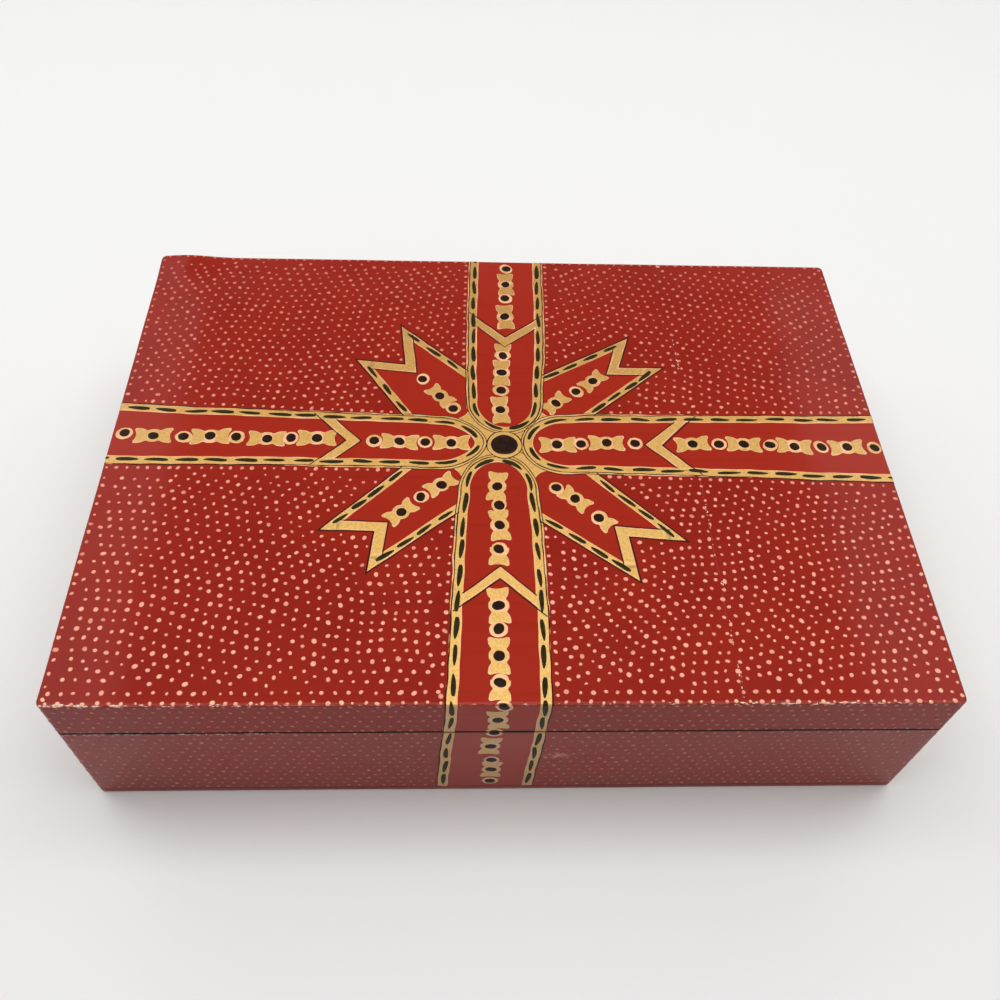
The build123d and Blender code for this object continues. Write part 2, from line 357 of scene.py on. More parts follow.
class Skin:
    """The outside of the lacquer, a rounded block that the paint lies on."""

    def __init__(self, sizes):
        self.sizes = sizes
        self.coat = sizes.coat
        self.edge = sizes.edge_radius
        self.corner = sizes.corner_radius + sizes.coat
        self.half = WOOD_HALF + sizes.coat
        self.top = WOOD_TOP + sizes.coat
        self.flat = self.half - self.edge
        rng = np.random.default_rng(sizes.seed)
        directions = rng.normal(size=(6, 3))
        directions /= np.linalg.norm(directions, axis=1)[:, None]
        self.waves = 2 * np.pi * directions / RIPPLE_WAVES[:, None]
        self.heights = sizes.ripple * RIPPLE_WAVES / RIPPLE_WAVES.sum() * 2
        self.phases = rng.uniform(0, 2 * np.pi, 6)

    def ripple(self, points):
        """Slow waves of the lacquer: six sines in space, the long ones the highest.

        Near its left end the back edge of the top stands up in a low swell, a bell curve in all three
        directions.
        """
        away = (points - np.array([SWELL_X, self.half[1], self.top])) / SWELL_REACH
        swell = SWELL_HEIGHT * np.exp(-0.5 * (away**2).sum(1))
        return np.sin(points @ self.waves.T + self.phases) @ self.heights + swell

    def raised(self, points, normals, lift):
        """Points moved out along their normals by the lift and the ripple."""
        return points + (lift + self.ripple(points))[:, None] * normals

    def over(self, flat, lift):
        """Places lift above the lacquer for flat points.

        Past an edge of the top, a point turns round the edge's arc by the angle past / radius, up to a right
        angle, and then goes straight down the wall.
        """
        past = np.maximum(np.abs(flat) - self.flat, 0)
        angle = np.minimum(past / self.edge, np.pi / 2)
        across = np.minimum(np.abs(flat), self.flat) + self.edge * np.sin(angle)
        drop = self.edge * (1 - np.cos(angle)) + np.maximum(past - self.edge * np.pi / 2, 0)
        sign = np.sign(flat)
        points = np.column_stack([sign * across, self.top - drop.sum(1)])
        normals = np.column_stack([sign * np.sin(angle), np.cos(angle).prod(1)])
        normals /= np.linalg.norm(normals, axis=1)[:, None]
        return self.raised(points, normals, lift)

    def down(self, axis, z):
        """Flat distance from the middle, over the edge across this axis and down the wall to height z."""
        return self.flat[axis] + self.edge * np.pi / 2 + self.top - self.edge - z

    def unfolded(self, points):
        """Flat points of places outside: on a wall, the larger coordinate's distance runs on down it."""
        flat = points[:, :2].copy()
        wall = np.flatnonzero(points[:, 2] < self.top - self.edge)
        axis = np.argmin(self.half - np.abs(flat[wall]), axis=1)
        flat[wall, axis] = np.sign(flat[wall, axis]) * self.down(axis, points[wall, 2])
        return flat

    def girth(self):
        """Length of the outline of the walls."""
        return 4 * (self.half - self.corner).sum() + 2 * np.pi * self.corner

    def outline(self, run):
        """Point and outward normal at a distance along the walls' outline, from the front's left end on.

        The outline is four times a straight side and a quarter turn to the left. The normal's angle is a
        quarter turn per side, and on a quarter turn it grows by distance / radius.
        """
        reach = self.half - self.corner
        sides = 2 * np.array([reach[0], reach[1], reach[0], reach[1]])
        quarter = np.full(4, self.corner * np.pi / 2)
        ends = np.cumsum(np.column_stack([sides, quarter]).ravel())
        run = np.asarray(run, float) % ends[-1]
        stretch = np.minimum(np.searchsorted(ends, run, side="right"), 7)
        along = run - np.concatenate([[0], ends[:-1]])[stretch]
        side = stretch // 2
        on_arc = stretch % 2 == 1
        centres = np.array([(1, -1), (1, 1), (-1, 1), (-1, -1)]) * reach
        angle = side * np.pi / 2 + np.where(on_arc, along / self.corner, 0)
        heading = np.column_stack([np.cos(side * np.pi / 2), np.sin(side * np.pi / 2)])
        straight = centres[side - 1] + heading * along[:, None]
        middle = np.where(on_arc[:, None], centres[side], straight)
        normal = np.column_stack([np.sin(angle), -np.cos(angle)])
        return middle + self.corner * normal, normal

    def wall(self, places, lift):
        """Places lift above the lacquer of the walls, for (distance along the outline, height) pairs."""
        point, normal = self.outline(places[:, 0])
        points = np.column_stack([point, places[:, 1]])
        normals = np.column_stack([normal, np.zeros(len(normal))])
        return self.raised(points, normals, lift)


class Path:
    """A line on the flat, with the distance run along it and a mitred normal on its left at each point.

    The mitred normal at a corner is the sum of the normals before and after it, over one plus their dot
    product, so that a strip laid along it keeps its width.
    """

    def __init__(self, points):
        steps = np.diff(points, axis=0)
        lengths = np.linalg.norm(steps, axis=1)
        left = np.column_stack([-steps[:, 1], steps[:, 0]]) / lengths[:, None]
        before = np.concatenate([left[:1], left])
        after = np.concatenate([left, left[-1:]])
        self.points = points
        self.run = np.concatenate([[0], np.cumsum(lengths)])
        self.normals = (before + after) / (1 + (before * after).sum(1))[:, None]

    def piece(self, start, stop, step):
        """The part between two distances: points at most step apart, and the line's own close ones."""
        gaps = np.diff(self.run)
        close = np.minimum(np.append(gaps, 1), np.insert(gaps, 0, 1)) < step / 2
        own = self.run[close & (self.run > start) & (self.run < stop)]
        even = np.linspace(start, stop, max(int(np.ceil((stop - start) / step)), 1) + 1)
        run = np.sort(np.concatenate([even, own]))
        run = run[np.insert(np.diff(run) > 0.04 * MM, 0, True)]
        return Path(np.column_stack([np.interp(run, self.run, axis) for axis in self.points.T]))

    def moved(self, offset):
        """Points of the line, moved to its left by offset at each point."""
        return self.points + np.broadcast_to(offset, self.run.shape)[:, None] * self.normals


def hand_drawn(corners, offsets, step, seed, stray, trim=False):
    """Lines alongside an open line of corners, mitred, with points at most step apart and a slow stray.

    Each stretch between two corners is divided evenly, at the same shares on every line. Trimmed ends are cut
    along the axis of each end's larger coordinate: the normal n there becomes axis / (axis . n).
    """
    path = Path(corners)
    if trim:
        for end in (0, -1):
            axis = int(np.argmax(np.abs(corners[end])))
            path.normals[end] = np.eye(2)[axis] / path.normals[end, axis]
    shares = [np.zeros(1)]
    for i, span in enumerate(np.diff(path.run)):
        shares.append(i + np.linspace(0, 1, int(np.ceil(span / step)) + 1)[1:])
    shares = np.concatenate(shares)
    knots = np.arange(len(corners))
    run = np.interp(shares, knots, path.run) - path.run[1]
    sway = np.column_stack([wander(run, seed + k, mm([8, 13, 21, 34]), stray) for k in (0, 1)])
    return [np.column_stack([np.interp(shares, knots, axis) for axis in path.moved(offset).T]) + sway
            for offset in offsets]


def strip(skin, low, high, lift, section=WIDE_SECTION):
    """A strip of paint between two lines of as many points: the section carried along, with flat ends."""
    across, relief = section.T
    count, wide = len(low), len(across)
    flat = low[:, None, :] + across[None, :, None] * (high - low)[:, None, :]
    height = np.where(relief < 0, -SINK, relief * lift)
    points = skin.over(flat.reshape(-1, 2), np.tile(height, count))
    tone = np.where(relief < 0, RIM_TONE, 0.95 * np.abs(2 * across - 1))
    return points, bar_faces(count, wide), np.tile(tone, count)


def mounds(place, centres, radii, lift, tone, shares, fall=0.35, rim_tone=None):
    """Low round mounds of paint, all in one shell list.

    Spoke m of a mound is as long as its radius there. A mound has a top point, rings at shares of the spokes,
    whose height is 1 - fall * share squared, and a sunk ring at the full radius, closed underneath, which can
    have a tone of its own.
    """
    count, spokes = radii.shape
    angles = turns(spokes)
    rays = radii[..., None] * np.column_stack([np.cos(angles), np.sin(angles)])
    shares = np.array([*shares, 1.0])
    flat = centres[:, None, None, :] + shares[None, :, None, None] * rays[:, None, :, :]
    flat = np.concatenate([centres[:, None, :], flat.reshape(count, -1, 2)], 1)
    heights = np.concatenate([[1.0], np.repeat(1 - fall * shares**2, spokes)])
    per_mound = len(heights)
    lifts = np.broadcast_to(lift, (count,))[:, None] * heights
    lifts[:, -spokes:] = -SINK
    points = place(flat.reshape(-1, 2), lifts.ravel())
    starts = (np.arange(count) * per_mound)[:, None, None]
    groups = [(starts + group).reshape(-1, group.shape[1]) for group in dome_faces(len(shares), spokes)]
    tones = np.repeat(np.broadcast_to(tone, (count,)).astype(float), per_mound).reshape(count, per_mound)
    if rim_tone is not None:
        tones[:, -spokes:] = rim_tone
    return points, groups, tones.ravel()


def blobs(rng, count, spokes, radius, unevenness):
    """Radii of hand-dabbed dots: each has its own size, a lean to one side and a little noise."""
    size = radius * (1 + unevenness * rng.normal(size=(count, 1)).clip(-2, 2))
    lean = 0.12 * rng.normal(size=(count, 1)).clip(-2, 2)
    lean = lean * np.cos(2 * (turns(spokes) - rng.uniform(0, np.pi, (count, 1))))
    return size * (1 + lean + 0.04 * rng.normal(size=(count, spokes)).clip(-2, 2))


class Arm:
    """One arm of the painted ribbon, measured u out from the middle of the lid and w across.

    Each outer edge runs smoothly through its (u, w) knots. Round the middle the gold band turns back in a
    pointed arch: at angle t from the tip, u = end - reach * cos(t)^(2 / power) and w goes from the middle to
    the edge as sin(t)^(2 / power).
    """

    def __init__(self, skin, along, across, plus, minus, red_end, tip, dash, power=2.0,
                 brims=((15, 1.3), (35, 1.1), (60, 0.75), (80, 0.45))):
        sizes = skin.sizes
        self.skin = skin
        self.along = np.array(along, float)
        self.across = np.array(across, float)
        self.axis = int(abs(along[1]))
        self.knots = {1: mm(plus), -1: mm(minus)}
        self.outward = -np.sign(self.along[0] * self.across[1] - self.along[1] * self.across[0])
        self.start = (red_end - tip / 2) * MM
        self.power = power
        self.dash = dash * MM
        self.widths = np.array([(self.start, tip * MM), (22 * MM, 0.95 * sizes.band_width),
                                (50 * MM, sizes.band_width), (125 * MM, 1.1 * sizes.band_width)])
        self.brims = mm(brims)
        self.wobble = sizes.wobble
        self.seed = sizes.seed + int(17 + 5 * along[0] + 3 * along[1])

    def place(self, u, w):
        """Flat points of places on the arm."""
        return np.asarray(u)[..., None] * self.along + np.asarray(w)[..., None] * self.across

    def edge(self, side, u):
        """The outer edge's place across, on the plus or minus side."""
        return smooth(u, self.knots[side])

    def width(self, u):
        """Width of the gold band."""
        return np.interp(u, *self.widths.T)

    def brim(self, u):
        """How far the gold goes on outside the band."""
        return np.interp(u, *self.brims.T)

    def middle(self, side, u):
        """The middle of the gold band."""
        return self.edge(side, u) - side * self.width(u) / 2

    def steps(self, start, stop):
        """Places along the arm, closer together round the lid's edge."""
        lap = 0.2 * MM
        fold = np.linspace(-lap, self.skin.edge * np.pi / 2 + lap, EDGE_STEPS + 3) + self.skin.flat[self.axis]
        plain = np.linspace(start, stop, int(np.ceil((stop - start) / (1.6 * MM))) + 1)
        clear = plain[1:-1][np.abs(plain[1:-1, None] - fold).min(1) > 0.4 * MM]
        fold = fold[(fold > start) & (fold < stop)]
        return np.sort(np.concatenate([plain[[0, -1]], clear, fold]))

    def loop(self):
        """The band's middle line on the lid: in on the plus side, round the arch, out on the minus side."""
        end = self.start + ARCH_REACH
        straight = self.steps(end, self.skin.down(self.axis, LID_RIM + RIM_LAP))
        t = np.linspace(0, np.pi / 2, 16)[1:-1]
        arch_u = end - ARCH_REACH * np.cos(t) ** (2 / self.power)
        lift = np.sin(t) ** (2 / self.power)
        centre = (self.middle(1, end) + self.middle(-1, end)) / 2
        sides = []
        for side in (1, -1):
            arch_w = centre + (self.middle(side, end) - centre) * lift
            u = np.concatenate([arch_u, straight])
            w = np.concatenate([arch_w, self.middle(side, straight)])
            w = w + side * wander(u, self.seed + side, BAND_WAVES, self.wobble)
            sides.append(self.place(u, w))
        tip = self.place(np.array([self.start]), np.array([centre]))
        return Path(np.concatenate([sides[0][::-1], tip, sides[1]]))

    def side_line(self, side):
        """The band's middle line on one side of the tray, from the rim down."""
        u = self.steps(self.skin.down(self.axis, TRAY_RIM - RIM_LAP),
                       self.skin.down(self.axis, BOTTOM_LINE + RIM_LAP))
        w = self.middle(side, u) + side * wander(u, self.seed + side, BAND_WAVES, self.wobble)
        return Path(self.place(u, w))

    def covers(self, flat, margin):
        """Whether flat points lie on the arm or within the margin of it."""
        u = flat @ self.along
        w = flat @ self.across
        return (u > 0) & (w < self.edge(1, u) + margin) & (w > self.edge(-1, u) - margin)


def arms(skin):
    """The ribbon's four arms, as painted: none quite straight or in the middle."""
    return {
        "right": Arm(skin, (1, 0), (0, 1), [(22, 12.6), (40, 13), (125, 14)],
                     [(22, -11.2), (40, -11.6), (125, -14.5)], red_end=10, tip=3.0, dash=1.75),
        "left": Arm(skin, (-1, 0), (0, 1), [(22, 11.5), (40, 12.4), (125, 16.5)],
                    [(22, -9.6), (40, -9.2), (125, -9)], red_end=9.5, tip=2.9, dash=1.75, power=1.7),
        "back": Arm(skin, (0, 1), (1, 0), [(20, 13), (40, 14.7), (90, 16.5)],
                    [(20, -11), (40, -11.2), (90, -10.3)], red_end=8, tip=2.2, dash=1.9,
                    brims=((15, 1.3), (35, 1.1), (60, 0.9), (90, 0.85))),
        "front": Arm(skin, (0, -1), (1, 0), [(20, 9.8), (40, 10.8), (92, 11), (150, 9.2)],
                     [(20, -13.8), (40, -15.2), (90, -17.5), (149, -20.8)], red_end=7.5, tip=2.2,
                     dash=1.8),
    }


# Corners of the bow's four tails: along one edge to its tip, in to the notch, out to the other tip and back
TAILS = {
    "front_left": mm([(-33, -10), (-57, -34.5), (-40.3, -35), (-41.8, -50), (-14.8, -27.5)]),
    "back_left": mm([(-33.2, 12.8), (-50.3, 38.5), (-33.3, 36.5), (-35.5, 56), (-11.5, 33.3)]),
    "back_right": mm([(13, 31), (46.3, 51), (41.8, 36.2), (57.3, 36.2), (31, 13.5)]),
    "front_right": mm([(31, -13), (55.7, -38.3), (37.8, -36.7), (39.7, -53), (10.8, -30.8)]),
}

# Ends and tip of the chevrons, along the edge that points to the middle, and the width of their gold at each
CHEVRONS = {
    "right": (mm([(60.5, 12.3), (47.1, 0.6), (59.6, -12.3)]), mm([2.4, 3.9, 3.4])),
    "left": (mm([(-56.4, 11.5), (-46.8, 1.2), (-55.8, -7.6)]), mm([3.3, 3.3, 3.3])),
    "back": (mm([(-8.3, 56.6), (1.7, 46), (14, 56.2)]), mm([2.8, 3.4, 3.3])),
    "front": (mm([(-14.5, -58.3), (-1.9, -47.8), (9.6, -59.2)]), mm([2.6, 3.1, 2.8])),
}

# Beads along each arm: their kinds, distances from the middle of the lid, and the line that they follow.
# c is a long bead with both ends flared, f one with only its outer end flared, and r a round bead.
CHAINS = {
    "right": ("crcrcrcrcrcrcrcrcr",
              [18, 25.8, 34.3, 43.8, 63, 72, 80.3, 89.3, 97.3, 106.3, 115, 124.4, 134.5, 142.3, 152.2, 160.4,
               168.6, 177.2],
              [(18, 0.2), (35, 1.1), (44, 1.0), (80, 1.0), (106, 0.2), (125, 0.1), (186, 0.3)]),
    "left": ("crcrcrcrcrcrcrcrcr",
             [17, 25.7, 34, 42.3, 61, 69.5, 77.3, 87, 95.5, 104, 114, 123.4, 134.5, 142.3, 152.2, 160.4,
              168.6, 177.2],
             [(17, 0.8), (42, 1.2), (61, 2.3), (77, 1.8), (95, 2.6), (104, 2.2), (123, 3.5), (186, 3.8)]),
    "back": ("crcfcrcrcrcrcr",
             [15.5, 24.5, 33, 41.3, 61.5, 71.5, 79.5, 88.4, 99.5, 107.6, 117.3, 125.5, 133.5, 142],
             [(15, -0.6), (33, 0.2), (41, 0.8), (61, 2.2), (72, 2.6), (89, 3.2), (150, 3.4)]),
    "front": ("crcfcrcfrcrcrcr",
              [17.3, 24.7, 32.6, 41.6, 61.3, 69.3, 77.7, 85.9, 93.8, 102.1, 110.3, 119.9, 130.4, 137.7,
               146.7],
              [(17, -2.4), (25, -1.9), (42, -2.2), (61, -2.8), (78, -3.1), (87, -2.8), (95, -1.9),
               (103, -3.5), (112, -4.2), (121, -5), (131, -4.2), (148, -4.2)]),
}

# Long beads: length, width of the middle, the neck and the flare, as shares, and the hollow of the ends in mm
LONG_BEADS = {"right": (1.0, 0.98, 0.82, 1.14, 1.0), "left": (1.04, 0.98, 0.82, 1.14, 1.0),
              "back": (1.03, 1.05, 0.82, 1.08, 0.6), "front": (0.97, 1.04, 0.77, 1.1, 0.6),
              "tail": (0.92, 0.98, 0.76, 1.1, 1.0)}

# Beads on the tails: kind and place
TAIL_BEADS = [
    ("r", (-27, 29.5)), ("c", (-21, 21.7)), ("r", (-16.5, 16)),
    ("c", (18.3, 18.9)), ("r", (25.9, 24.2)), ("c", (32, 29.5)),
    ("c", (-20.2, -16.7)), ("r", (-26.3, -21.7)), ("c", (-32.5, -27.7)),
    ("r", (16.5, -18)), ("c", (22.2, -22.3)), ("f", (29.2, -29.5)),
]

# Hollow fillets of the plate under the bow: the two arms that each lies between, and its radius
FILLETS = [("right", "back", 5.2), ("back", "left", 6.4), ("left", "front", 5.8), ("front", "right", 5.2)]

# The medallion: its middle, and half its width and depth for each disc
MEDALLION_MIDDLE = mm([(0.35, 0.0)])
MEDALLION_DISCS = {"outer_line": (6.2, 6.15), "ring": (5.9, 5.85), "inner_line": (4.7, 4.45),
                   "centre": (4.45, 4.2)}

# Fields of dots on the top: the signs of the quarter, the rows' angle in degrees and the pitch as a share
DOT_FIELDS = [((-1, -1), 45, 0.98), ((-1, 1), 128, 0.96), ((1, -1), 135, 0.93), ((1, 1), 40, 1.0)]

# Rows of dots along the top's edges: the axis along it, how far inside the edge, the pitch and the sides
EDGE_ROWS = [(0, 0.2, 3.4, (-1, 1)), (0, 3.2, 3.5, (-1,)), (1, 0.9, 3.6, (-1, 1))]

# Chips along the front edge: from and to along X, how many, and half their length and half their width
FRONT_CHIPS = [(-126, -104, 26, (0.4, 1.5), (0.14, 0.4)), (-104, -60, 26, (0.25, 0.9), (0.08, 0.2)),
               (-60, 58, 16, (0.2, 0.7), (0.08, 0.16)), (60, 112, 48, (0.3, 1.3), (0.1, 0.3))]

# Chips along the crack: from and to along Y, and how many. Nearer the middle than the gap, under the ribbon,
# there are none.
CRACK_CHIPS = [(36, 51, 16), (-44, -24, 18), (-58, -52, 9), (-75, -65, 10), (-91, -80, 14), (-24, 36, 5)]
CRACK_GAP = 13 * MM


def inward(corners):
    """Which side of a closed line of corners is its inside: 1 for the left, -1 for the right."""
    x, y = corners.T
    return np.sign((x * np.roll(y, -1) - y * np.roll(x, -1)).sum())


def beyond(corners):
    """Which side of a chevron's corners is away from the lid's middle: 1 for the left, -1 for the right."""
    return np.sign(Path(corners).normals[1] @ corners[1])


def within(points, corners):
    """Whether points lie inside a polygon, by counting the edges that a ray along X crosses."""
    x, y = points[:, :1], points[:, 1:]
    ax, ay = corners.T
    bx, by = np.roll(corners, -1, axis=0).T
    spans = (ay > y) != (by > y)
    crossing = ax + (y - ay) * (bx - ax) / np.where(by == ay, 1, by - ay)
    return (spans & (x < crossing)).sum(1) % 2 == 1


def near_line(points, corners, distance):
    """Whether points lie within a distance of any edge of a polygon."""
    start = corners[None]
    edge = np.roll(corners, -1, axis=0)[None] - start
    share = ((points[:, None] - start) * edge).sum(-1) / (edge**2).sum(-1)
    foot = start + share.clip(0, 1)[..., None] * edge
    return (np.linalg.norm(points[:, None] - foot, axis=-1) < distance).any(1)


def rounded(x, y, half, radius):
    """A rectangle's points, moved so that its nested rings get round corners, and each ring's outward normal.

    A point's depth is its distance from the nearest side, and its ring has corners of radius - depth. Where
    the point is less than that radius further from the other side than from the near one, it moves round the
    corner's arc, by 45 degrees * (1 - how much further / radius) from the near side's normal.
    """
    gap_x = half[0] - np.abs(x)
    gap_y = half[1] - np.abs(y)
    depth = np.minimum(gap_x, gap_y)
    further = np.abs(gap_y - gap_x)
    bend = np.maximum(radius - depth, 0)
    on_arc = further < bend
    angle = np.where(on_arc, np.pi / 4 * (1 - further / np.where(bend > 0, bend, 1)), 0)
    near = bend * (1 - np.cos(angle)) + depth
    far = bend * (1 - np.sin(angle)) + depth
    by_x = gap_x <= gap_y
    plan_x = np.where(on_arc, half[0] - np.where(by_x, near, far), np.abs(x))
    plan_y = np.where(on_arc, half[1] - np.where(by_x, far, near), np.abs(y))
    out_x = np.where(by_x, np.cos(angle), np.sin(angle))
    out_y = np.where(by_x, np.sin(angle), np.cos(angle))
    sign_x, sign_y = np.sign(x), np.sign(y)
    return sign_x * plan_x, sign_y * plan_y, sign_x * out_x, sign_y * out_y


def graded(half, coarse, fine, border):
    """Grid lines from -half to half, coarse in the middle and fine within the border of each end."""
    edge = np.linspace(half - border, half, int(round(border / fine)) + 1)
    middle = np.linspace(-half + border, half - border, int(round(2 * (half - border) / coarse)) + 1)
    return np.concatenate([-edge[::-1], middle[1:-1], edge])


def crack_line(y):
    """X of the hairline crack over the joint of the lid's two boards: a slant with a slow stray."""
    back, front = TOP_JOINT_X - 1.1 * MM, TOP_JOINT_X + 0.9 * MM
    slant = np.interp(y, [-WOOD_HALF[1], WOOD_HALF[1]], [front, back])
    return slant + wander(y, CRACK_SEED, mm([17, 31, 71]), 0.25 * MM)


def crack_depth(y):
    """Depth of the crack along its length: open in stretches, and closed in others and under the ribbon."""
    beside = np.clip((np.abs(y) - 12 * MM) / (3 * MM), 0, 1)
    return 0.16 * MM * beside * np.clip(0.35 + wander(y, CRACK_SEED + 1, mm([14, 22, 49]), 0.9), 0, 1)


def lid_coat(skin):
    """The lacquer over the lid: a grid on the top, then loops down the walls, round the rim and inside."""
    lines, rows = (graded(half, *TOP_GRID) for half in skin.flat)
    crowd = TOP_JOINT_X + np.linspace(-2.4, 2.4, 25) * MM
    lines = np.sort(np.concatenate([lines[np.abs(lines - TOP_JOINT_X) > 3 * MM], crowd]))
    x, y = np.meshgrid(lines, rows)
    lean = np.clip(1 - np.abs(x - TOP_JOINT_X) / (25 * MM), 0, 1)
    lean = lean * np.clip((skin.flat[1] - np.abs(y)) / (1 * MM), 0, 1)
    x = x + (crack_line(y) - TOP_JOINT_X) * np.minimum(1.2 * lean, 1)
    plan_x, plan_y, out_x, out_y = rounded(x, y, skin.flat, skin.corner - skin.edge)
    groove = crack_depth(plan_y) * np.exp(-((plan_x - crack_line(plan_y)) / (0.24 * MM)) ** 2)
    fade = np.clip((skin.flat[1] - np.abs(plan_y)) / (2 * MM), 0, 1)
    top = np.column_stack([plan_x.ravel(), plan_y.ravel(), np.full(x.size, skin.top)])
    top = skin.raised(top, np.array([[0, 0, 1.0]]), -(groove * fade).ravel())

    high, wide = x.shape
    rim = grid_border(np.arange(x.size).reshape(high, wide))
    base = np.column_stack([plan_x.ravel(), plan_y.ravel()])[rim]
    normal = np.column_stack([out_x.ravel(), out_y.ravel()])[rim]

    profile, wear = lid_profile(skin)
    loops = []
    for out, z, tilt, outer in profile:
        level = np.column_stack([base + out * normal, np.full(len(rim), z)])
        facing = np.column_stack([normal * np.cos(tilt), np.full(len(rim), np.sin(tilt))])
        loops.append(skin.raised(level, facing, 0.0) if outer else level)
    points = np.concatenate([top, *loops])
    count = len(rim)
    belts = np.concatenate([rim[None], len(top) + np.arange(len(loops) * count).reshape(-1, count)])
    nearer, further = belts[:-1], belts[1:]
    skirt = np.stack([np.roll(nearer, -1, 1), nearer, further, np.roll(further, -1, 1)], -1).reshape(-1, 4)
    faces = [grid_faces(high, wide), skirt, belts[-1][::-1][None]]
    # Wear with a painted highlight on the edge, stronger at the front, and painted shade at the seam
    edge_rub_and_highlight = np.where(normal[:, 1] < -0.7, 1.0, 0.45)
    seam_shading = seam_shade_strength(base.sum(1))
    tone = [np.zeros(len(top))]
    for level in wear:
        tone.append(level * (edge_rub_and_highlight if level > 0 else seam_shading if level > -0.9 else np.ones(count)))
    return points, faces, np.concatenate(tone)


def seam_shade_strength(run):
    """How far the painted shade of the seam spreads, from 0 to 1, along a distance round the box."""
    return np.clip(0.45 + wander(run, SEAM_SHADE_SEED, mm([19, 37, 83]), 0.9), 0, 1)


def lid_profile(skin):
    """The section of the lid's coat outside the flat top, from the top edge down and back up inside.

    Rows are (distance out from the flat's outline, height, tilt of the normal, whether the ripple moves it),
    and beside them the tone of each row: above nought for wear, on the top edge's arc with a painted
    highlight, and below it for painted shade at the seam. The outside is a quarter arc, a wall and a small
    rounding at the rim. The inside is the same arc, a quarter of a millimetre under it, inside the wood.
    """
    arc = np.linspace(0, np.pi / 2, EDGE_STEPS + 1)[1:]
    centre = skin.top - skin.edge
    rows = [(skin.edge * np.sin(a), centre + skin.edge * np.cos(a), np.pi / 2 - a, True) for a in arc]
    # Tone round the top edge's arc: rubbed wear and a painted highlight, strongest halfway round
    wear = list(np.sin(2 * arc) ** 8)
    for z in [*np.linspace(centre - 1 * MM, LID_RIM + 1 * MM, 9), LID_RIM + 0.5 * MM]:
        rows.append((skin.edge, z, 0.0, True))
        wear.append(0.0)
    # Painted shade at the seam: the row just over the rim strays along it, the rows at the rim are full
    wear[-1] = -0.85
    rows.append((skin.edge, LID_RIM + 0.25 * MM, 0.0, True))
    rows.append((skin.edge - 0.06 * MM, LID_RIM + 0.07 * MM, 0.0, True))
    inner = skin.edge - skin.coat - 0.05 * MM
    rows.append((skin.edge - 0.16 * MM, LID_RIM + 0.01 * MM, 0.0, False))
    rows.append((inner, LID_RIM + 0.05 * MM, 0.0, False))
    wear += [-1.0, -1.0, -1.0, -1.0]
    rows += [(inner * np.sin(a), centre + inner * np.cos(a), 0.0, False) for a in arc[::-1][::2]]
    rows.append((0.0, centre + inner, 0.0, False))
    wear += [0.0] * (len(rows) - len(wear))
    return rows, wear


def tray_coat(skin):
    """The lacquer over the tray's walls: a closed section carried round the outline.

    The section is a rounded rim, a wall with a shallow groove where the bottom board meets the walls, an arc
    under it that stops just over the floor, and the way back up inside the wood.
    """
    radius = skin.sizes.foot_radius
    foot = radius + skin.coat
    turn = np.radians([16, 32, 48])
    inner = -skin.coat - 0.05 * MM
    rows = [(inner, TRAY_RIM - 0.04 * MM), (-0.16 * MM, TRAY_RIM - 0.01 * MM),
            (-0.06 * MM, TRAY_RIM - 0.06 * MM), (0.0, TRAY_RIM - 0.2 * MM), (0.0, TRAY_RIM - 0.4 * MM)]
    rows += [(0.0, z) for z in np.linspace(TRAY_RIM - 1 * MM, BOTTOM_LINE + 1.2 * MM, 20)]
    rows += [(out * MM, BOTTOM_LINE + up * MM)
             for out, up in ((0, 0.4), (-0.05, 0.18), (-0.13, 0), (-0.05, -0.18), (0, -0.4), (0, -1.2))]
    rows += [(foot * (np.cos(a) - 1), radius - foot * np.sin(a)) for a in (0, *turn)]
    under = foot + inner
    rows += [(under * np.cos(a) - foot, radius - under * np.sin(a)) for a in turn[::-2]]
    rows += [(inner, radius + 0.5 * MM)]
    rows = np.array(rows)
    corner = np.pi / 2 * skin.corner
    reach = 2 * (skin.half - skin.corner)
    run = 0.0
    stations = []
    for side in (reach[0], reach[1], reach[0], reach[1]):
        stations.append(run + np.linspace(0, side, int(side / (2 * MM)), endpoint=False))
        run += side
        stations.append(run + np.linspace(0, corner, CORNER_STEPS, endpoint=False))
        run += corner
    stations = np.concatenate(stations)
    point, normal = skin.outline(stations)
    level = point[None] + rows[:, :1, None] * normal[None]
    height = np.broadcast_to(rows[:, 1:], level.shape[:2])
    points = np.concatenate([level, height[..., None]], -1).reshape(-1, 3)
    facing = np.column_stack([normal, np.zeros(len(normal))])
    outer = np.repeat(rows[:, 0] > -0.15 * MM, len(stations))
    rippled = skin.raised(points, np.tile(facing, (len(rows), 1)), 0.0)
    points = np.where(outer[:, None], rippled, points)
    # Tone by height: wear at the foot, the bottom joint's groove darkened, painted shade at the rim by the
    # seam
    wear = np.interp(rows[:, 1], mm([0, 1.6, 2.9, 3, 3.1, 43.6, 43.8, 44]),
                     [0.6, 0, 0, -0.6, 0, 0, -1.0, -1.0])
    # How far down from the rim the seam's painted shade reaches
    spread = np.interp(rows[:, 1], mm([43.0, 43.2, 43.7]), [0.0, 0.5, 0.9])
    away = (points - np.array([SCUFF_X, -skin.half[1], SCUFF_Z])) / SCUFF_REACH
    scuff = 1.8 * np.exp(-(away**2).sum(1))
    faces = [grid_faces(len(rows), len(stations), close_rows=True, close_columns=True)]
    seam_shading = np.minimum(wear[:, None], -spread[:, None] * seam_shade_strength(point.sum(1))[None])
    tone = np.where(spread[:, None] > 0, seam_shading, wear[:, None])
    return points, faces, tone.ravel() + scuff


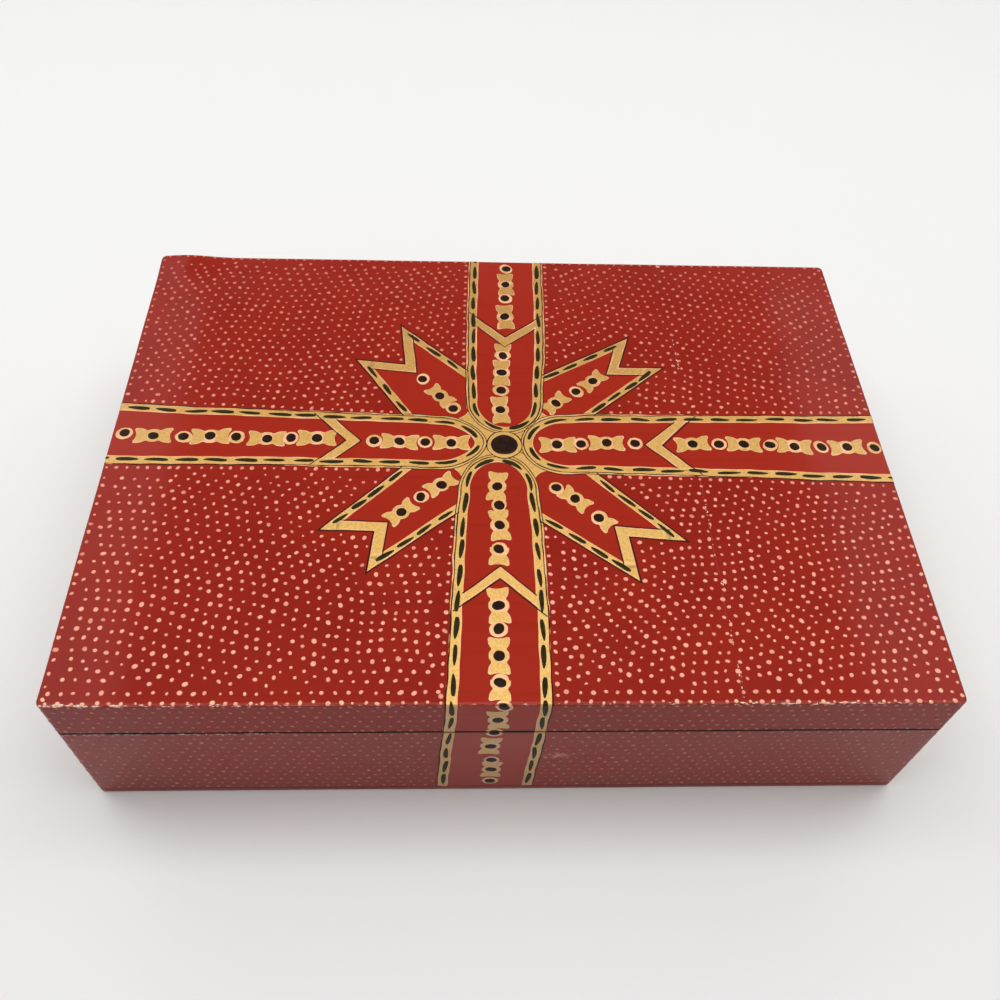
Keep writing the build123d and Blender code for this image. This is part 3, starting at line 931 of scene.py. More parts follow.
def ribbon_share(skin, points):
    """1 on the red of the ribbon and of the bow's tails, out to the middle of their gold, and 0 elsewhere."""
    flat = skin.unfolded(points)
    inside = np.zeros(len(flat), bool)
    for arm in arms(skin).values():
        u, w = flat @ arm.along, flat @ arm.across
        inside |= (u > 0) & (w < arm.middle(1, u)) & (w > arm.middle(-1, u))
    for corners in TAILS.values():
        reached = np.vstack([corners, [[0, 0]]])
        inside |= within(flat, reached) & ~near_line(flat, reached, skin.sizes.tail_width / 2)
    return inside.astype(float)


def band_paths(arm):
    """The middle lines of an arm's gold bands, each with its body and its side that is outside the ribbon.

    The side is 1 for the line's left and -1 for its right.
    """
    yield "lid", arm.loop(), arm.outward
    for side in (1, -1):
        yield "tray", arm.side_line(side), -side * arm.outward


def band_strips(arm, skin):
    """The gold bands of one arm: one long strip on the lid, and one on each side of the tray.

    Each goes on past the dark line along its outside by a narrow brim.
    """
    pieces = {"lid": [], "tray": []}
    for body, path, out in band_paths(arm):
        u = path.points @ arm.along
        half = arm.width(u) / 2
        brim = arm.brim(u) + wander(path.run, arm.seed + 9, mm([4, 7, 15]), 0.08 * MM)
        pieces[body].append(strip(skin, path.moved(-out * half), path.moved(out * (half + brim)), BAND))
    return pieces


def web_outline(arm_map):
    """The gold plate under the bow: out along each band, and round a hollow fillet between arms."""
    ring = []
    for name, other, radius in FILLETS:
        radius = radius * MM
        first, second = arm_map[name], arm_map[other]
        corner = first.along + second.along
        side_a = int(np.sign(corner @ first.across))
        side_b = int(np.sign(corner @ second.across))
        u_a = abs(second.edge(side_b, 20 * MM)) + radius
        u_b = abs(first.edge(side_a, 20 * MM)) + radius
        centre = first.along * u_a + second.along * u_b
        t = np.linspace(0, np.pi / 2, 9)[:, None]
        arc = centre - radius * (np.cos(t) * second.along + np.sin(t) * first.along)
        ring += [along_band(first, side_a, u_a), arc, along_band(second, side_b, u_b)[::-1]]
    return np.concatenate(ring)


def along_band(arm, side, stop):
    """Points of the band's middle line from the tip of its arch out to a distance from the lid's middle."""
    path = arm.loop().points
    tip = int(np.argmin(path @ arm.along))
    chosen = path[:tip + 1][::-1] if side > 0 else path[tip:]
    return chosen[chosen @ arm.along < stop][::2]


def plate(skin, outline, lift):
    """A flat plate of paint inside a closed line: rings of the line drawn in to its middle, closed below."""
    centre = outline.mean(0)
    shares = np.array([0.25, 0.5, 0.75, 0.94, 1.0])
    flat = np.concatenate([centre[None], *[centre + s * (outline - centre) for s in shares]])
    count = len(outline)
    heights = np.concatenate([np.full(1 + 4 * count, lift), np.full(count, -SINK)])
    return skin.over(flat, heights), dome_faces(len(shares), count), np.where(heights < 0, RIM_TONE, 0.1)


def notch_lines(corners, offsets, seed):
    """Lines along the notch of a tail, inside it, from 5 mm short of one tip to 5 mm short of the other."""
    notch = corners[1:4].copy()
    for tip in (0, -1):
        inwards = notch[1] - notch[tip]
        notch[tip] += 5 * MM * inwards / np.linalg.norm(inwards)
    return hand_drawn(notch, inward(corners) * np.array(offsets), 2.5 * MM, seed, 0.1 * MM)


def ribbon_lines(arm_map, corners, offsets, seed, depth=0.5):
    """Lines alongside the corners of a tail or a chevron, with both ends on the gold bands.

    Each end moves along its own stretch until it lies inside the ribbon's edge by depth times the band's
    width.
    """
    moved = corners.copy()
    for end, inner in ((0, 1), (-1, -2)):
        arm = max(arm_map.values(), key=lambda one: corners[end] @ one.along)
        u, w = corners[end] @ arm.along, corners[end] @ arm.across
        side = np.sign(w)
        limit = arm.edge(side, u) - side * depth * arm.width(u)
        stretch = corners[end] - corners[inner]
        moved[end] = corners[end] + stretch * (limit - w) / (stretch @ arm.across)
    return hand_drawn(moved, offsets, 2.5 * MM, seed, 0.6 * arm.wobble, trim=True)


def dashes(skin, path, first, last, pitch, size, width, lean, rng):
    """Tapered dark dashes along a path.

    At share s from its thin end, a dash is 1.74 * width * s^0.5 * (1 - s)^0.3 wide. The blunt end is on the
    side that lean says, 1 for onwards and -1 for back, in four out of five.
    """
    pieces = []
    count = max(int(round((last - first) / pitch)), 1)
    pitch = (last - first) / count
    for i in range(count):
        start = first + i * pitch + rng.uniform(-0.4, 0.4) * MM
        stop = start + size * rng.uniform(0.85, 1.1)
        line = path.piece(max(start, 0.3 * MM), min(stop, path.run[-1] - 0.3 * MM), 0.75 * MM)
        share = (line.run / line.run[-1]).clip(0.02, 0.98)
        if (rng.random() < 0.2) == (lean > 0):
            share = 1 - share
        half = 0.87 * width * rng.uniform(0.82, 1.12) * share**0.5 * (1 - share) ** 0.3
        sway = rng.uniform(-0.2, 0.2) * MM + (share - 0.5) * rng.uniform(-0.6, 0.6) * MM
        pieces.append(strip(skin, line.moved(sway - half), line.moved(sway + half), DASH, FINE_SECTION))
    return pieces


def long_bead(skin, centre, heading, shape, scale, start=-1.0):
    """A bead with flared, hollow ends.

    Half its width runs smoothly through knots from the round middle through the neck to the flare. At share t
    of the half length and q across, the place along is t * half - hollow * t^4 * (1 - q^2), outwards at both
    ends. The rows at the two ends come twice, the outer time sunk under the lacquer, so that the hollow stays
    open.
    """
    sizes = skin.sizes
    along, across = np.array(heading), np.array([-heading[1], heading[0]])
    size, middle, neck, flare, hollow = shape
    t = np.sin(np.linspace(np.arcsin(start), np.pi / 2, 41 if start < -0.9 else 25))
    t = np.concatenate([t[:1], t, t[-1:]])[:, None]
    share, relief = WIDE_SECTION.T
    q = 2 * share - 1
    half = sizes.bead_waist * smooth(np.abs(t), [
        (0, middle), (0.17, 0.96 * middle), (0.29, 0.45 * neck + 0.45 * middle), (0.37, neck),
        (0.45, 0.65 * neck + 0.35 * flare), (0.58, 0.2 * neck + 0.8 * flare), (0.78, flare),
        (0.92, 1.01 * flare), (0.98, 0.92 * flare), (1, 0.78 * flare)])
    dip = hollow * MM * t**4 * np.sign(t)
    u = scale * (t * size * sizes.bead_length / 2 - dip * (1 - q**2))
    w = scale * half * q
    flat = centre + u.reshape(-1, 1) * along + w.reshape(-1, 1) * across
    heights = np.tile(np.where(relief < 0, -SINK, relief * BEAD), (len(t), 1))
    heights[[0, -1]] = -SINK
    rim = np.maximum(np.abs(q), t**8)
    away = np.hypot(u, w) / (scale * (sizes.centre_radius + 0.5 * MM))
    tone = np.maximum(0.95 * rim**1.5, 0.85 * (away < 1)).ravel()
    tone = np.where(heights.ravel() < 0, RIM_TONE, tone)
    return skin.over(flat, heights.ravel()), bar_faces(len(t), len(q)), tone


def reach(start, angles, centre, radius, level):
    """Distances from a start inside a disc to its rim, or to a level line that cuts it if that is nearer."""
    ray = np.column_stack([np.cos(angles), np.sin(angles)])
    offset = start - centre
    along = ray @ offset
    rim = -along + np.sqrt(along**2 - offset @ offset + radius**2)
    cut = (level - start[1]) / np.where(np.abs(ray[:, 1]) < 1e-9, 1e-9, ray[:, 1])
    return np.where(cut > 0, np.minimum(rim, cut), rim)


def round_bead(skin, centre, radius, lift, rng, tone):
    """A round dab of paint."""
    radii = blobs(rng, 1, BEAD_SPOKES, radius, 0.03)
    radii = radius + 0.5 * (radii - radius)
    return mounds(skin.over, centre[None], radii, lift, tone, BEAD_RINGS, rim_tone=RIM_TONE)


def seam_bead(skin, arm, u, w, radius, lift, tone):
    """A round dab across the seam, cut in two: the lid's part and the tray's part, each flat at the rims.

    It is worked out in a plane whose first axis is the place across the arm and whose second is minus the
    distance along it.
    """
    def place(points, lifts):
        return skin.over(arm.place(-points[:, 1], points[:, 0]), lifts)

    centre = np.array([w, -u])
    parts = {}
    for body, rim, lap in (("lid", LID_RIM, RIM_LAP), ("tray", TRAY_RIM, -RIM_LAP)):
        level = -skin.down(arm.axis, rim + lap)
        low, high = (level, centre[1] + radius) if body == "lid" else (centre[1] - radius, level)
        if high - low < 0.15 * MM:
            continue
        start = np.array([w, (low + high) / 2])
        radii = reach(start, turns(BEAD_SPOKES), centre, radius, level)[None]
        parts[body] = mounds(place, start[None], radii, lift, tone, BEAD_RINGS, rim_tone=RIM_TONE)
    return parts


class Recipe:
    """A material made of nodes: each call adds a node, sets it and links what it is given."""

    def __init__(self, name):
        self.material = bpy.data.materials.new(name)
        self.material.use_nodes = True
        self.tree = self.material.node_tree
        self.tree.nodes.clear()
        self.shader = self.add("ShaderNodeBsdfPrincipled")
        output = self.add("ShaderNodeOutputMaterial")
        self.tree.links.new(self.shader.outputs["BSDF"], output.inputs["Surface"])
        self.place = self.add("ShaderNodeTexCoord").outputs["Object"]

    def add(self, kind, inputs=None, **settings):
        """A node of a kind, with its settings, and its inputs given as values or as sockets to link."""
        node = self.tree.nodes.new(kind)
        for key, value in settings.items():
            setattr(node, key, value)
        for key, value in (inputs or {}).items():
            self.give(node.inputs[key], value)
        return node

    def give(self, socket, value):
        """Links a socket to an output, or sets it to a plain value."""
        if isinstance(value, bpy.types.NodeSocket):
            self.tree.links.new(value, socket)
        else:
            socket.default_value = value

    def shade(self, **inputs):
        """Sets or links the shader's inputs, named with _ for spaces."""
        for key, value in inputs.items():
            self.give(self.shader.inputs[key.replace("_", " ")], value)

    def stretched(self, x, y, z):
        """The object's own coordinates, each scaled."""
        return self.add("ShaderNodeMapping", {"Vector": self.place, "Scale": (x, y, z)}).outputs["Vector"]

    def noise(self, scale, detail, vector=None, distortion=0.0):
        """Soft noise from 0 to 1, with scale waves to the metre."""
        inputs = {"Vector": vector or self.place, "Scale": scale, "Detail": detail, "Roughness": 0.55,
                  "Distortion": distortion}
        return self.add("ShaderNodeTexNoise", inputs).outputs["Fac"]

    def attribute(self, name):
        """A number stored at the mesh's points."""
        return self.add("ShaderNodeAttribute", attribute_name=name).outputs["Fac"]

    def math(self, operation, a, b=0.0):
        """Two numbers joined by an operation."""
        return self.add("ShaderNodeMath", {0: a, 1: b}, operation=operation).outputs[0]

    def between(self, value, low, high, start=0.0, stop=1.0):
        """A smooth step: start below low, stop above high."""
        inputs = {"Value": value, "From Min": low, "From Max": high, "To Min": start, "To Max": stop}
        return self.add("ShaderNodeMapRange", inputs, interpolation_type="SMOOTHSTEP").outputs["Result"]

    def axis(self, index):
        """One of the object's own coordinates: 0, 1 or 2."""
        return self.add("ShaderNodeSeparateXYZ", {0: self.place}).outputs[index]

    def mix(self, factor, a, b, blend="MIX"):
        """Two colours mixed."""
        node = self.add("ShaderNodeMix", data_type="RGBA", blend_type=blend)
        self.give(node.inputs[0], factor)
        self.give(node.inputs[6], a)
        self.give(node.inputs[7], b)
        return node.outputs[2]

    def bump(self, height, distance):
        """Bends the normal by a height from 0 to 1 that stands for a distance in metres."""
        node = self.add("ShaderNodeBump", {"Height": height, "Distance": distance, "Strength": 1.0})
        self.shade(Normal=node.outputs["Normal"])


def paint(value):
    """A colour as the shader takes it: each channel c of the colour as it looks becomes about c^2.4."""
    seen = np.array(value[:])
    linear = np.where(seen <= 0.04045, seen / 12.92, ((seen + 0.055) / 1.055) ** 2.4)
    return (*linear.tolist(), 1.0)


def dimmed(value, share):
    """A colour as the shader takes it, at a share of its strength."""
    return tuple(share * c for c in paint(value)[:3]) + (1.0,)


def lacquer_material(name, colours, coat):
    """Red paint, brush-streaked and patchy, under clear lacquer; edges worn, with a painted highlight."""
    m = Recipe(name)
    patches = m.noise(38, detail=4)
    streaks = m.noise(1, detail=3, vector=m.stretched(14, 420, 420))
    red = m.mix(m.between(patches, 0.3, 0.7, 0.35, 1.0), paint(colours.lacquer_deep), paint(colours.lacquer))
    red = m.mix(m.between(streaks, 0.52, 0.75, 0, 0.4), red, paint(colours.lacquer_deep))
    red = m.mix(m.math("MULTIPLY", m.attribute("ribbon"), m.between(streaks, 0.45, 0.8, 1.0, 0.6)), red,
                paint(colours.ribbon))
    grit = m.noise(900, detail=2)
    tone = m.attribute("tone")
    # Tone above nought: wear at the foot and the scuff, and wear with a painted highlight on the top edge
    rub_and_highlight = m.math("ADD", m.between(tone, 0.0, 1.0, 0.0, 0.45), m.between(tone, 1.0, 1.8, 0.0, 0.45))
    wear = m.math("MULTIPLY", rub_and_highlight, m.between(m.noise(420, detail=5), 0.36, 0.6))
    red = m.mix(wear, red, paint(colours.filler_deep))
    # Tone below nought: painted shade in the seam by the rims, and the darkened groove of the bottom joint
    red = m.mix(m.between(tone, -0.9, -0.1, 0.9, 0.0), red, paint(colours.seam_shade))
    m.shade(Base_Color=red, Roughness=m.between(patches, 0.3, 0.7, 0.4, 0.5), Specular_IOR_Level=0.05,
            Coat_Weight=coat, Coat_Roughness=0.1, Coat_IOR=1.5)
    m.bump(m.math("ADD", m.math("MULTIPLY", grit, 0.4), m.noise(260, detail=2)), 0.02 * MM)
    return m.material


def gold_material(name, colours):
    """Gold paint, peach near its edges and brown at the very rim, with a soft lustre under clear lacquer.

    It is darkened towards the back of the box and on the walls, as painted shade.
    """
    m = Recipe(name)
    cloud = m.noise(170, detail=4)
    tone = m.attribute("tone")
    edge = m.math("ADD", tone, m.between(cloud, 0.3, 0.7, -0.18, 0.18))
    grain = m.noise(1500, detail=2)
    # Painted shade: the gold darkens from the front of the top to its back
    gold = m.mix(m.between(m.axis(1), -0.09, 0.09), paint(colours.gold), paint(colours.gold_shaded_back))
    gold = m.mix(m.between(grain, 0.42, 0.62, 0, 0.55), gold, (0.76, 0.66, 0.5, 1.0), "MULTIPLY")
    gold = m.mix(m.between(edge, 0.62, 0.98, 0.0, 0.85), gold, paint(colours.peach))
    gold = m.mix(m.between(tone, 1.0, 1.4), gold, paint(colours.rim))
    # Painted shade: below the top, on the walls, the gold is darker and cooler
    wall_shade = m.between(m.axis(2), float(WOOD_TOP) - 1.2 * MM, float(WOOD_TOP), 1.0, 0.0)
    gold = m.mix(wall_shade, gold, (0.78, 0.76, 0.88, 1.0), "MULTIPLY")
    m.shade(Base_Color=gold, Metallic=0.12, Roughness=0.42, Specular_IOR_Level=0.15, Coat_Weight=0.4,
            Coat_Roughness=0.12)
    m.bump(grain, 0.015 * MM)
    return m.material


def dark_material(name, value):
    """Dark paint, a little streaky, under clear lacquer."""
    m = Recipe(name)
    streak = m.noise(500, detail=3)
    deep = m.mix(m.between(streak, 0.3, 0.7), paint(value), dimmed(value, 0.55))
    m.shade(Base_Color=deep, Roughness=0.45, Specular_IOR_Level=0.05, Coat_Weight=0.12, Coat_Roughness=0.1)
    m.bump(streak, 0.02 * MM)
    return m.material


def dot_material(name, colours, value):
    """The dots' pale paint: each has its own strength of colour, with painted shade towards the back."""
    m = Recipe(name)
    # Low tones, from random draws and from the painted shade at the back, darken towards this colour
    deep = tuple(a * b for a, b in zip(paint(value), (0.62, 0.36, 0.36, 1.0)))
    tone = m.attribute("tone")
    shade = m.mix(m.between(tone, 0.0, 0.8), deep, paint(value))
    shade = m.mix(m.between(tone, 0.93, 1.0), shade, paint(colours.peach))
    shade = m.mix(m.between(m.noise(900, detail=2), 0.45, 0.7, 0, 0.2), shade, paint(colours.peach))
    m.shade(Base_Color=shade, Roughness=0.42, Specular_IOR_Level=0.15, Coat_Weight=0.35, Coat_Roughness=0.12)
    m.bump(m.noise(1400, detail=2), 0.015 * MM)
    return m.material


def filler_material(name, colours):
    """The pale ground in the chips, dusty and dull."""
    m = Recipe(name)
    dust = m.noise(1100, detail=3)
    stained = m.between(m.attribute("tone"), 0.0, 1.0)
    pale = m.mix(m.between(dust, 0.35, 0.65, 0.0, 0.5), paint(colours.filler), paint(colours.filler_deep))
    m.shade(Base_Color=m.mix(stained, pale, paint(colours.filler_deep)), Roughness=0.7)
    m.bump(dust, 0.03 * MM)
    return m.material


def board_material(name, colours, along):
    """Bare wood with its grain along one axis, and the red paint that laps round the outside edges."""
    m = Recipe(name)
    scale = [110, 110, 110]
    scale[along] = 4
    rings = {"Vector": m.stretched(*scale), "Scale": 1.5, "Distortion": 4.0, "Detail": 3.0,
             "Detail Scale": 0.9, "Detail Roughness": 0.55}
    grain = m.add("ShaderNodeTexWave", rings, wave_type="RINGS", rings_direction="XYZ"[along]).outputs["Fac"]
    fibre = [900, 900, 900]
    fibre[along] = 35
    fibres = m.noise(1, detail=3, vector=m.stretched(*fibre))
    wood = m.mix(m.between(grain, 0.2, 0.9), paint(colours.wood_deep), paint(colours.wood))
    wood = m.mix(m.between(fibres, 0.5, 0.7, 0, 0.5), wood, paint(colours.wood_deep))
    lap = 2.6 * MM
    stray = m.between(m.noise(160, detail=4), 0.3, 0.7, -0.9 * MM, 0.9 * MM)
    past = []
    for i in (0, 1):
        strayed = m.math("ADD", m.math("ABSOLUTE", m.axis(i)), stray)
        past.append(m.math("GREATER_THAN", strayed, float(WOOD_HALF[i]) - lap))
    painted = m.math("MAXIMUM", *past)
    m.shade(Base_Color=m.mix(painted, wood, paint(colours.lacquer_deep)),
            Roughness=m.between(painted, 0, 1, 0.55, 0.35), Coat_Weight=0.12, Coat_Roughness=0.3)
    m.bump(fibres, 0.05 * MM)
    return m.material


def felt_material(name, colours):
    """Pressed wool: short matted fibres, slightly mottled."""
    m = Recipe(name)
    fibres = m.noise(2600, detail=4, distortion=1.4)
    mottle = m.noise(60, detail=4)
    deep = dimmed(colours.felt, 0.5)
    shade = m.mix(m.between(fibres, 0.3, 0.7), deep, paint(colours.felt))
    shade = m.mix(m.between(mottle, 0.35, 0.7, 0, 0.3), shade, deep)
    m.shade(Base_Color=shade, Roughness=0.95, Specular_IOR_Level=0.1, Sheen_Weight=0.08, Sheen_Roughness=0.5)
    m.bump(fibres, 0.15 * MM)
    return m.material


def metal_material(name, value, roughness, along):
    """Drawn metal, with fine lines along one axis and a light tarnish."""
    m = Recipe(name)
    scale = [2600, 2600, 2600]
    scale[along] = 90
    lines = m.noise(1, detail=2, vector=m.stretched(*scale))
    tarnish = m.noise(240, detail=5)
    shade = m.mix(m.between(tarnish, 0.45, 0.75, 0, 0.7), paint(value), dimmed(value, 0.45))
    rough = m.between(tarnish, 0.3, 0.7, roughness, roughness + 0.18)
    m.shade(Base_Color=shade, Metallic=1.0, Roughness=rough)
    m.bump(lines, 0.01 * MM)
    return m.material


def floor_material(name, colours):
    """A plain pale floor, a little uneven in tone."""
    m = Recipe(name)
    soft = m.noise(3, detail=3)
    m.shade(Base_Color=m.mix(soft, dimmed(colours.floor, 0.96), paint(colours.floor)), Roughness=0.75)
    m.bump(m.noise(400, detail=2), 0.05 * MM)
    return m.material


def material(name, make, *values):
    """A material by name, made the first time it is asked for."""
    return bpy.data.materials.get(name) or make(name, *values)


def gold_of(scene):
    """The gold paint."""
    return material("gold_paint", gold_material, scene.box_colours)


def outline_of(scene):
    """The dark paint of the outlines."""
    return material("outline_paint", dark_material, scene.box_colours.outline)


def centre_of(scene):
    """The dark paint of the bead centres."""
    return material("bead_centres", dark_material, scene.box_colours.centre)


def dress_node(name, finish):
    """Gives a carried-over part its material."""
    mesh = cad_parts[name].data
    if not mesh.materials:
        mesh.materials.append(finish)
    for i in range(len(mesh.materials)):
        mesh.materials[i] = finish


class BuildStage(bpy.types.Operator):
    """Make the floor, the lamps and the camera"""

    bl_idname = "storage_box.stage"
    bl_label = "Stage"

    def execute(self, context):
        scene = context.scene
        stage = scene.box_stage
        self.floor(scene)
        size = (stage.lamp_length, stage.lamp_depth)
        self.lamp(scene, "soft_lamp", (0, 0, stage.lamp_height), size, stage.lamp_power)
        for name, place in SIDE_LAMPS.items():
            self.lamp(scene, name, place, SIDE_LAMP_SIZE, stage.side_power)
        self.world(scene, stage)
        self.camera(scene, stage)
        scene.view_settings.view_transform = "Standard"
        return {"FINISHED"}

    def floor(self, scene):
        """A floor that turns up into a backdrop: a line, a quarter turn and a line, swept along X."""
        front, back, rise, radius, half = -3.0, 0.85, 1.0, 0.3, 3.0
        t = np.linspace(0, np.pi / 2, 13)
        y = np.concatenate([[front, 0], back + radius * np.sin(t), [back + radius]])
        z = np.concatenate([[0, 0], radius * (1 - np.cos(t)), [rise]])
        x = np.linspace(-half, half, 3)
        points = np.array([np.column_stack([np.full(len(y), side), y, z]) for side in x]).reshape(-1, 3)
        mesh = bpy.data.meshes.new("floor")
        mesh.from_pydata(points.tolist(), [], grid_faces(len(x), len(y)).tolist())
        mesh.shade_smooth()
        mesh.materials.append(material("floor", floor_material, scene.box_colours))
        floor = bpy.data.objects.new("floor", mesh)
        scene.collection.objects.link(floor)

    def lamp(self, scene, name, place, size, power):
        """A large soft lamp that faces down."""
        data = bpy.data.lights.new(name, "AREA")
        data.shape = "RECTANGLE"
        data.size, data.size_y = size
        data.energy = power
        lamp = bpy.data.objects.new(name, data)
        lamp.location = place
        scene.collection.objects.link(lamp)

    def world(self, scene, stage):
        """Even light from all round."""
        world = bpy.data.worlds.new("room")
        scene.world = world
        world.use_nodes = True
        background = world.node_tree.nodes["Background"]
        background.inputs["Color"].default_value = (1, 1, 1, 1)
        background.inputs["Strength"].default_value = stage.world

    def camera(self, scene, stage):
        """The camera, aimed by its pitch and yaw and then leaned by its roll."""
        pitch, yaw, roll = stage.pitch, stage.yaw, stage.roll
        forward = np.array([np.sin(yaw) * np.cos(pitch), np.cos(yaw) * np.cos(pitch), -np.sin(pitch)])
        level = np.array([np.cos(yaw), -np.sin(yaw), 0.0])
        upward = np.cross(level, forward)
        right = np.cos(roll) * level + np.sin(roll) * upward
        up = -np.sin(roll) * level + np.cos(roll) * upward
        data = bpy.data.cameras.new("camera")
        data.sensor_width = 36.0
        data.lens = stage.lens
        data.clip_start = 0.01
        camera = bpy.data.objects.new("camera", data)
        matrix = np.eye(4)
        matrix[:3, 0], matrix[:3, 1], matrix[:3, 2], matrix[:3, 3] = right, up, -forward, stage.camera[:]
        camera.matrix_world = Matrix(matrix.tolist())
        scene.collection.objects.link(camera)
        scene.camera = camera


class BuildTimber(bpy.types.Operator):
    """Give the boards their wood, and the hinges and brads their metal"""

    bl_idname = "storage_box.timber"
    bl_label = "Boards and metal"

    def execute(self, context):
        colours = context.scene.box_colours
        for name in BOARDS:
            along = 1 if ("_left_" in name or "_right_" in name) else 0
            kind = f"wood_along_{'xyz'[along]}"
            dress_node(name, material(kind, board_material, colours, along))
        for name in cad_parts:
            if "_hinge_" in name:
                dress_node(name, material("brass", metal_material, colours.brass, 0.3, 0))
            elif name.endswith("_brads"):
                dress_node(name, material("steel", metal_material, colours.steel, 0.35, 2))
        return {"FINISHED"}


class BuildLining(bpy.types.Operator):
    """Make the felt on the floor of the tray and under the lid's top"""

    bl_idname = "storage_box.lining"
    bl_label = "Felt"

    def execute(self, context):
        scene = context.scene
        finish = material("pressed_felt", felt_material, scene.box_colours)
        for name, node, body, held, boards, up in (
            ("floor_felt", "base_floor_felt", "tray", "laid", ["base_bottom_board"], 1),
            ("ceiling_felt", "lid_ceiling_felt", "lid", "stretched",
             ["lid_top_wide_board", "lid_top_narrow_board"], -1),
        ):
            low, high = (np.array(corner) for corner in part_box(node))
            felt = new_piece(name, [self.sheet(low, high, up, scene.box_sizes.seed)], body, finish)
            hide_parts(node)
            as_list(boards)
        return {"FINISHED"}

    def sheet(self, low, high, up, seed):
        """A sheet of felt: a grid for its face and one for its back, joined round a rounded edge.

        The face sinks by a soft wander in both directions, and its border thins to a third over a millimetre.
        """
        x = graded((high[0] - low[0]) / 2, *FELT_GRID)
        y = graded((high[1] - low[1]) / 2, *FELT_GRID)
        grid_x, grid_y = np.meshgrid(x, y)
        thick = high[2] - low[2]
        inset = np.minimum(x[-1] - np.abs(grid_x), y[-1] - np.abs(grid_y))
        border = np.sqrt(1 - (1 - np.clip(inset / (1.2 * MM), 0, 1)) ** 2)
        give = wander(grid_x, seed, mm([19, 33, 71]), 0.5) * wander(grid_y, seed + 1, mm([17, 41, 88]), 0.5)
        face = thick * (0.35 + 0.65 * border) * (1 - 0.12 * np.abs(give))
        back = np.zeros_like(face)
        base = low[2] if up > 0 else high[2]
        plan = np.column_stack([grid_x.ravel(), grid_y.ravel()])
        points = np.concatenate([np.column_stack([plan, base + up * z.ravel()]) for z in (face, back)])
        count = plan.shape[0]
        rim = grid_border(np.arange(count).reshape(grid_x.shape))
        turn = np.roll(rim, -1)
        quads = grid_faces(*grid_x.shape)
        sides = np.column_stack([turn, rim, rim + count, turn + count])
        return points, [quads, quads[:, ::-1] + count, sides], np.zeros(len(points))


class BuildLacquer(bpy.types.Operator):
    """Make the coat of paint and lacquer over the lid and over the tray"""

    bl_idname = "storage_box.lacquer"
    bl_label = "Lacquer"

    def execute(self, context):
        scene = context.scene
        skin = Skin(scene.box_sizes)
        for body, make, polish in (("lid", lid_coat, 0.28), ("tray", tray_coat, 0.44)):
            name = f"{body}_lacquer"
            finish = material(name, lacquer_material, scene.box_colours, polish)
            shell = make(skin)
            piece = new_piece(f"{body}_coat", [shell], body, finish)
            mark(piece.data, "ribbon", ribbon_share(skin, shell[0]))
        return {"FINISHED"}


class BuildRibbon(bpy.types.Operator):
    """Paint the gold bands, the chevrons, the bow's tails and the plate under the bow"""

    bl_idname = "storage_box.ribbon"
    bl_label = "Ribbon and bow"

    def execute(self, context):
        scene = context.scene
        sizes = scene.box_sizes
        skin = Skin(sizes)
        arm_map = arms(skin)
        lid = [plate(skin, web_outline(arm_map), WEB)]
        for seed, corners in zip(TAIL_SEEDS, TAILS.values()):
            offsets = (0, inward(corners) * sizes.tail_width)
            lid.append(strip(skin, *ribbon_lines(arm_map, corners, offsets, seed), TAIL))
            lid.append(strip(skin, *notch_lines(corners, (0, sizes.notch_width), seed), NOTCH))
        for seed, (corners, width) in zip(CHEVRON_SEEDS, CHEVRONS.values()):
            offsets = (0, beyond(corners) * width)
            lid.append(strip(skin, *ribbon_lines(arm_map, corners, offsets, seed), CHEVRON))
        tray = []
        for arm in arm_map.values():
            bands = band_strips(arm, skin)
            lid += bands["lid"]
            tray += bands["tray"]
        new_piece("lid_ribbon", lid, "lid", gold_of(scene))
        new_piece("tray_ribbon", tray, "tray", gold_of(scene))
        return {"FINISHED"}


